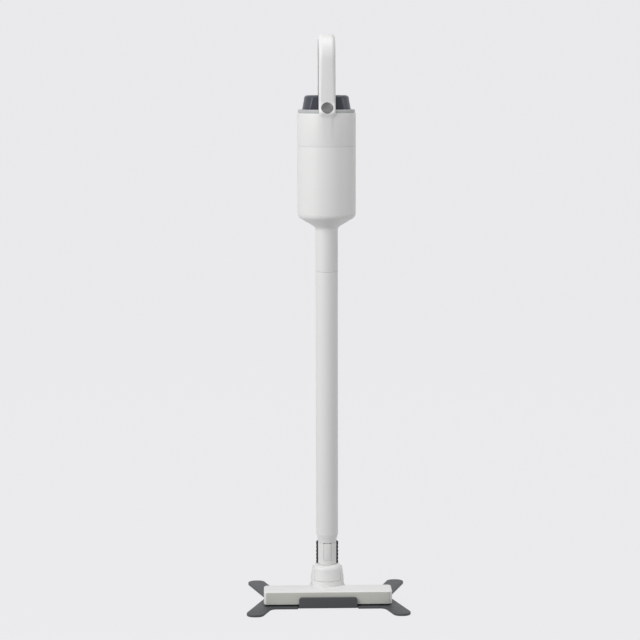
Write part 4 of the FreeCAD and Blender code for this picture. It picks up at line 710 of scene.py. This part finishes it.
rings = hoop_foot(front_line, -hoop_inner)
rings += arch(hoop_inner, hoop_outer, strap_half, finger_round, rounding_at(hoop_level))
rings += hoop_foot(reversed(back_line), hoop_inner)
carve(casing, lofted(rings), "UNION")
chin = Vector((0, -chin_reach, chin_level))
brow = Vector((0, -hoop_outer, foot_top))
button_seat = (chin + brow) / 2
facing = Vector((0, (chin - brow).z, -(chin - brow).y)).normalized()
tipped = Vector((0, 0, 1)).rotation_difference(facing).to_matrix().to_4x4()
on_button = Matrix.Translation(button_seat) @ tipped
button_radius, stem_bore = 9.8 * MM, 4.8 * MM
pocket_bore = button_radius + 0.4 * MM
pocket = [(pocket_bore, -6 * MM), (pocket_bore, 0.6 * MM), (button_radius + 0.9 * MM, 6 * MM)]
carve(casing, turned_over(lofted(rounds(pocket, 64)), on_button))
stem_pocket = [(stem_bore, -9.2 * MM), (stem_bore, -5 * MM)]
carve(casing, turned_over(lofted(rounds(stem_pocket, 48)), on_button))
inlet_level, inlet_bore = casing_top - 9 * MM, 3.62 * MM
inlet_pocket = [(inlet_bore, -casing_radius - 4 * MM), (inlet_bore, -casing_radius + 6 * MM)]
at_inlet = Matrix.Translation((0, 0, inlet_level)) @ lay_back
carve(casing, turned_over(lofted(rounds(inlet_pocket, 48)), at_inlet))
vents = bmesh.new()
vent_half, vent_foot, vent_head = 1.3 * MM, casing_base + 11 * MM, casing_base + 33 * MM
vent_outline = soft_corners(rectangle(vent_half, vent_foot, vent_head, 1.25 * MM), 20)
vent_turn = 8
for k in range(-5, 6):
    around = Matrix.Rotation(math.radians(vent_turn * k), 3, "Z")
    loops = []
    for y in (casing_radius - 6 * MM, casing_radius + 4 * MM):
        loops.append([vents.verts.new(around @ Vector((x, y, z))) for x, z in vent_outline])
    vents.faces.new(loops[0])
    vents.faces.new(reversed(loops[1]))
    for i in range(len(vent_outline)):
        j = (i + 1) % len(vent_outline)
        vents.faces.new((loops[0][i], loops[0][j], loops[1][j], loops[1][i]))
bmesh.ops.recalc_face_normals(vents, faces=vents.faces)
carve(casing, vents)
smooth(casing, 32)
casing.data.materials.append(white_plastic)
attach(casing, "motor_unit")
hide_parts("upper_casing")

# The finger side of the hoop is lined with a soft grey grip, three millimetres thick and set in a little
# from the hoop's edges. It ends in a slope above each foot.
low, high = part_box("handle_grip")
grip_thickness, grip_half, grip_end = 3 * MM, high.x, low.z
grip_inner = high.y - grip_thickness
grip_round, seam_round, slope_top = 1.4 * MM, 0.02 * MM, grip_end + 6 * MM
legs = [
    (grip_end + 0.05 * MM, 0.15 * MM),
    (grip_end + MM, MM),
    (grip_end + 3 * MM, 2.9 * MM),
    (slope_top, grip_thickness),
]
legs += [(slope_top + (hoop_level - grip_end - 6 * MM) * k / 6, grip_thickness) for k in range(1, 7)]


def grip_leg(side, steps):
    """The sections of one leg of the grip, from (level, thickness) steps."""
    sections = []
    for z, t in steps:
        near, far = (side * (hoop_inner - t), z), (side * hoop_inner, z)
        sections.append(strap_ring(near, far, grip_half, min(grip_round, t * 0.45), seam_round))
    return sections


rings = grip_leg(-1, legs) + arch(grip_inner, hoop_inner, grip_half, grip_round, seam_round)
grip = make_piece("grip_lining", lofted(rings + grip_leg(1, reversed(legs))))
soft_grip = surface("soft_grip", (0.15, 0.15, 0.155), 0.75, grain(2400, 3), 0.00006, 0.05)
grip.data.materials.append(soft_grip)
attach(grip, "motor_unit")
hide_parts("handle_grip")

# The light grey collar on top holds the well that the battery stands in. The block of contacts under it,
# the switch, the charging socket and the fixed vanes over the impeller are black. All keep their shape.
light_grey = surface("light_grey_plastic", (0.48, 0.495, 0.5), 0.42, grain(1800, 2), 0.00002, 0.012)
dress("battery_deck", light_grey)
for node in ("terminal_block", "power_switch", "charging_inlet", "diffuser"):
    dress(node, black_plastic)

# The power button is a round cap in darker grey, dished for a thumb, with a softened rim and a stem behind
# that reaches the switch.
dish, rim_width, rim_top, stem = 2.2 * MM, 0.9 * MM, -0.4 * MM, 2.2 * MM
cap = [
    (stem, -4.4 * MM),
    (stem, -3.6 * MM),
    (button_radius - 0.3 * MM, -3.4 * MM),
    (button_radius, -3.1 * MM),
]
cap += [(button_radius - d, -0.9 * MM + rise) for d, rise in rim_steps(0.5 * MM, 4)]
hollow_radius, dish_rings = button_radius - rim_width, 16
for k in range(1, dish_rings + 1):
    share = 1 - k / (dish_rings + 0.5)
    cap.append((hollow_radius * share, rim_top - dish * (1 - share**2)))
power = make_piece("power_cap", turned_over(lofted(rounds(cap, 96)), on_button), 50)
power_grey = surface("power_grey", (0.15, 0.15, 0.153), 0.4, grain(1800, 2), 0.00002, 0.02)
power.data.materials.append(power_grey)
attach(power, "power_key")
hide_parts("power_button")


# The motor stands on a rubber ring inside the casing: a die-cast can with a stack of laminations and two
# bearings in it, and on its steel shaft the impeller and the magnet ring.
def blobs(scale):
    """Relief of rounded cells, like cast skin or foam."""

    def build(tree, place):
        cells = tree.nodes.new("ShaderNodeTexVoronoi")
        cells.inputs["Scale"].default_value = scale
        tree.links.new(place, cells.inputs["Vector"])
        return cells.outputs["Distance"]

    return build


def layers(scale):
    """Relief of thin sheets stacked upwards."""

    def build(tree, place):
        band = tree.nodes.new("ShaderNodeTexWave")
        band.bands_direction = "Z"
        band.inputs["Scale"].default_value = scale
        tree.links.new(place, band.inputs["Vector"])
        return band.outputs["Fac"]

    return build


dress("motor_mount", black_rubber)
cast_grey = (0.72, 0.73, 0.74)
cast_aluminium = surface("cast_aluminium", cast_grey, 0.42, blobs(1100), 0.00006, 0.04, 0.15, metal=1.0)
for node in ("motor_housing", "impeller"):
    dress(node, cast_aluminium)
dress("motor_stator", surface("laminations", (0.35, 0.34, 0.33), 0.5, layers(320), 0.0001, 0.08, metal=0.8))
for node in ("motor_shaft", "motor_bearings"):
    dress(node, pin_steel)
dress("rotor_magnet", surface("magnet", (0.2, 0.2, 0.21), 0.45, grain(1500, 3), 0.00003, 0.08, metal=0.7))
dress("exhaust_foam", surface("foam", (0.055, 0.055, 0.06), 0.95, blobs(900), 0.0006, 0.2))
dress("control_board", surface("board_green", (0.03, 0.2, 0.09), 0.3, weave(90), 0.00005, 0.15))

# ---- the battery ----
# A slate block of four cells that lifts out of its well: round at the sides, flat in front and behind,
# tapered upwards, with a generous round over the top. The tub, the cells and the brass blades inside and
# under it keep their own shape.
low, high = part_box("battery_cover")
pack_radius, pack_flat, pack_height = high.x, high.y, high.z - low.z


def pack_outline(radius, flat, rounding):
    """A circle with a flat in front and one behind, and its four corners rounded."""
    corner = math.asin(flat / radius)
    angles = [-corner + 2 * corner * k / 20 for k in range(21)]
    right = [(radius * math.cos(a), radius * math.sin(a), 0) for a in angles]
    right[0] = (right[0][0], -flat, rounding)
    right[-1] = (right[-1][0], flat, rounding)
    return soft_corners(right + [(-x, y, r) for x, y, r in reversed(right)], fixed=6)


rings = []
taper, top_round = 3.3 * MM, 5.5 * MM
levels = [(0.5 * MM, 0), (0.1 * MM, 0.15 * MM), (0, 0.5 * MM)]
levels += [(taper * share, share * (pack_height - top_round)) for share in (0.3, 0.6, 0.9)]
base = taper * 0.94
levels += [(base + depth, pack_height - top_round + rise) for depth, rise in rim_steps(top_round, 9)]
for depth, rise in levels:
    flat = pack_flat - max(0.0, depth - base) - (0.4 * MM if rise == 0 else 0)
    outline = pack_outline(pack_radius - depth, flat, 5 * MM)
    rings.append([(x, y, low.z + rise) for x, y in outline])
pack = make_piece("battery_pack", lofted(rings), 50)
cavity, pack_wall = [], 2.7 * MM
for depth, rise in ((pack_wall, -MM), (pack_wall + taper * 0.75, pack_height - 5 * MM)):
    outline = pack_outline(pack_radius - depth, pack_flat - pack_wall, 2 * MM)
    cavity.append([(x, y, low.z + rise) for x, y in outline])
carve(pack, lofted(cavity))
smooth(pack, 50)
slate = surface("slate_plastic", (0.04, 0.044, 0.062), 0.36, grain(1500, 3), 0.00003, 0.04)
pack.data.materials.append(slate)
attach(pack, "battery")
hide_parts("battery_cover")
dress("battery_tub", slate)
dress("battery_cells", surface("cell_sleeve", (0.1, 0.3, 0.55), 0.3, grain(500, 2), 0.00003, 0.03))
drawn_lines = strands(800, (1, 1, 0.1))
brass = surface("brass", (0.8, 0.62, 0.3), 0.3, drawn_lines, 0.00001, 0.06, metal=1.0)
dress("battery_contacts", brass)

# ---- the room ----
# The cleaner stands on pale paper that sweeps up behind it. The paper keeps its own tone in the camera's
# view and still takes the shadow.
run, rise_radius, curve_parts = 4.0, 3.0, 16
paper_front, paper_top, paper_half = -6, 9, 12
profile = [(paper_front, 0), (run, 0)]
for k in range(1, curve_parts + 1):
    a = math.pi / 2 * k / curve_parts
    profile.append((run + rise_radius * math.sin(a), rise_radius * (1 - math.cos(a))))
profile.append((run + rise_radius, paper_top))
sweep_mesh = bpy.data.meshes.new("paper_sweep")
spots = [(x, y, z) for x in (-paper_half, paper_half) for y, z in profile]
count = len(profile)
sweep_mesh.from_pydata(spots, [], [(i, i + count, i + count + 1, i + 1) for i in range(count - 1)])
sweep_mesh.polygons.foreach_set("use_smooth", [True] * len(sweep_mesh.polygons))
sweep = bpy.data.objects.new("paper_sweep", sweep_mesh)
bpy.context.scene.collection.objects.link(sweep)


def pale_when_seen(tree, plain, share, result):
    """A backdrop that shows its own pale tone where it is seen and stays plain for other light."""
    light_path = tree.nodes.new("ShaderNodeLightPath")
    seen = light_path.outputs["Is Camera Ray"]
    for kind in ("Is Glossy Ray", "Is Transmission Ray"):
        either = tree.nodes.new("ShaderNodeMath")
        either.operation = "MAXIMUM"
        tree.links.new(seen, either.inputs[0])
        tree.links.new(light_path.outputs[kind], either.inputs[1])
        seen = either.outputs[0]
    part_seen = tree.nodes.new("ShaderNodeMath")
    part_seen.operation = "MULTIPLY"
    part_seen.inputs[1].default_value = share
    glow = tree.nodes.new("ShaderNodeEmission")
    glow.inputs["Color"].default_value = (0.85, 0.85, 0.865, 1)
    mix = tree.nodes.new("ShaderNodeMixShader")
    tree.links.new(seen, part_seen.inputs[0])
    tree.links.new(part_seen.outputs[0], mix.inputs[0])
    tree.links.new(plain.outputs[0], mix.inputs[1])
    tree.links.new(glow.outputs[0], mix.inputs[2])
    tree.links.new(mix.outputs[0], result.inputs[0])


paper = bpy.data.materials.new("paper")
paper.use_nodes = True
tree = paper.node_tree
tree.nodes.clear()
matt = tree.nodes.new("ShaderNodeBsdfDiffuse")
matt.inputs["Color"].default_value = (0.5, 0.5, 0.5, 1)
pale_when_seen(tree, matt, 0.95, tree.nodes.new("ShaderNodeOutputMaterial"))
sweep_mesh.materials.append(paper)


# Soft light comes from a large lamp high on the left, a wider one overhead and a weak one low on the right,
# over an even room.
def soft_lamp(name, place, aim, size, power):
    """A square lamp at a place, turned towards a point."""
    lamp_data = bpy.data.lights.new(name, "AREA")
    lamp_data.size = size
    lamp_data.energy = power
    item = bpy.data.objects.new(name, lamp_data)
    bpy.context.scene.collection.objects.link(item)
    item.location = place
    item.rotation_mode = "QUATERNION"
    item.rotation_quaternion = (Vector(aim) - Vector(place)).to_track_quat("-Z", "Y")


soft_lamp("key_lamp", (-2.5, -1.9, 2.2), (0, 0, 0.4), 2.2, 83)
soft_lamp("top_lamp", (0.6, 0.0, 6.0), (0, 0, 0.5), 3.5, 105)
soft_lamp("fill_lamp", (2.6, -0.6, 1.1), (0, 0, 0.5), 1.6, 12)
room = bpy.data.worlds.new("room")
bpy.context.scene.world = room
room.use_nodes = True
even_light = room.node_tree.nodes["Background"]
even_light.inputs["Color"].default_value = (0.8, 0.8, 0.81, 1)
even_light.inputs["Strength"].default_value = 0.4
pale_when_seen(room.node_tree, even_light, 1, room.node_tree.nodes["World Output"])

# The camera stands three metres off with a long lens, at the height of the handle, looking a little down.
camera = bpy.data.objects.new("camera", bpy.data.cameras.new("camera"))
bpy.context.scene.collection.objects.link(camera)
camera.data.sensor_width = 36
camera.data.lens = 100.7
distance, eye_height = 3.04, 0.916
turn, pitch, roll = math.radians(-1.6), math.radians(7.9), math.radians(-0.12)
aim_turn = turn + math.radians(0.22)
camera.location = (distance * math.sin(turn), -distance * math.cos(turn), eye_height)
level = math.cos(pitch)
ahead = Vector((-math.sin(aim_turn) * level, math.cos(aim_turn) * level, -math.sin(pitch)))
camera.rotation_mode = "QUATERNION"
camera.rotation_quaternion = ahead.to_track_quat("-Z", "Y") @ Quaternion((0, 0, 1), roll)
bpy.context.scene.camera = camera
bpy.context.scene.view_settings.view_transform = "Standard"
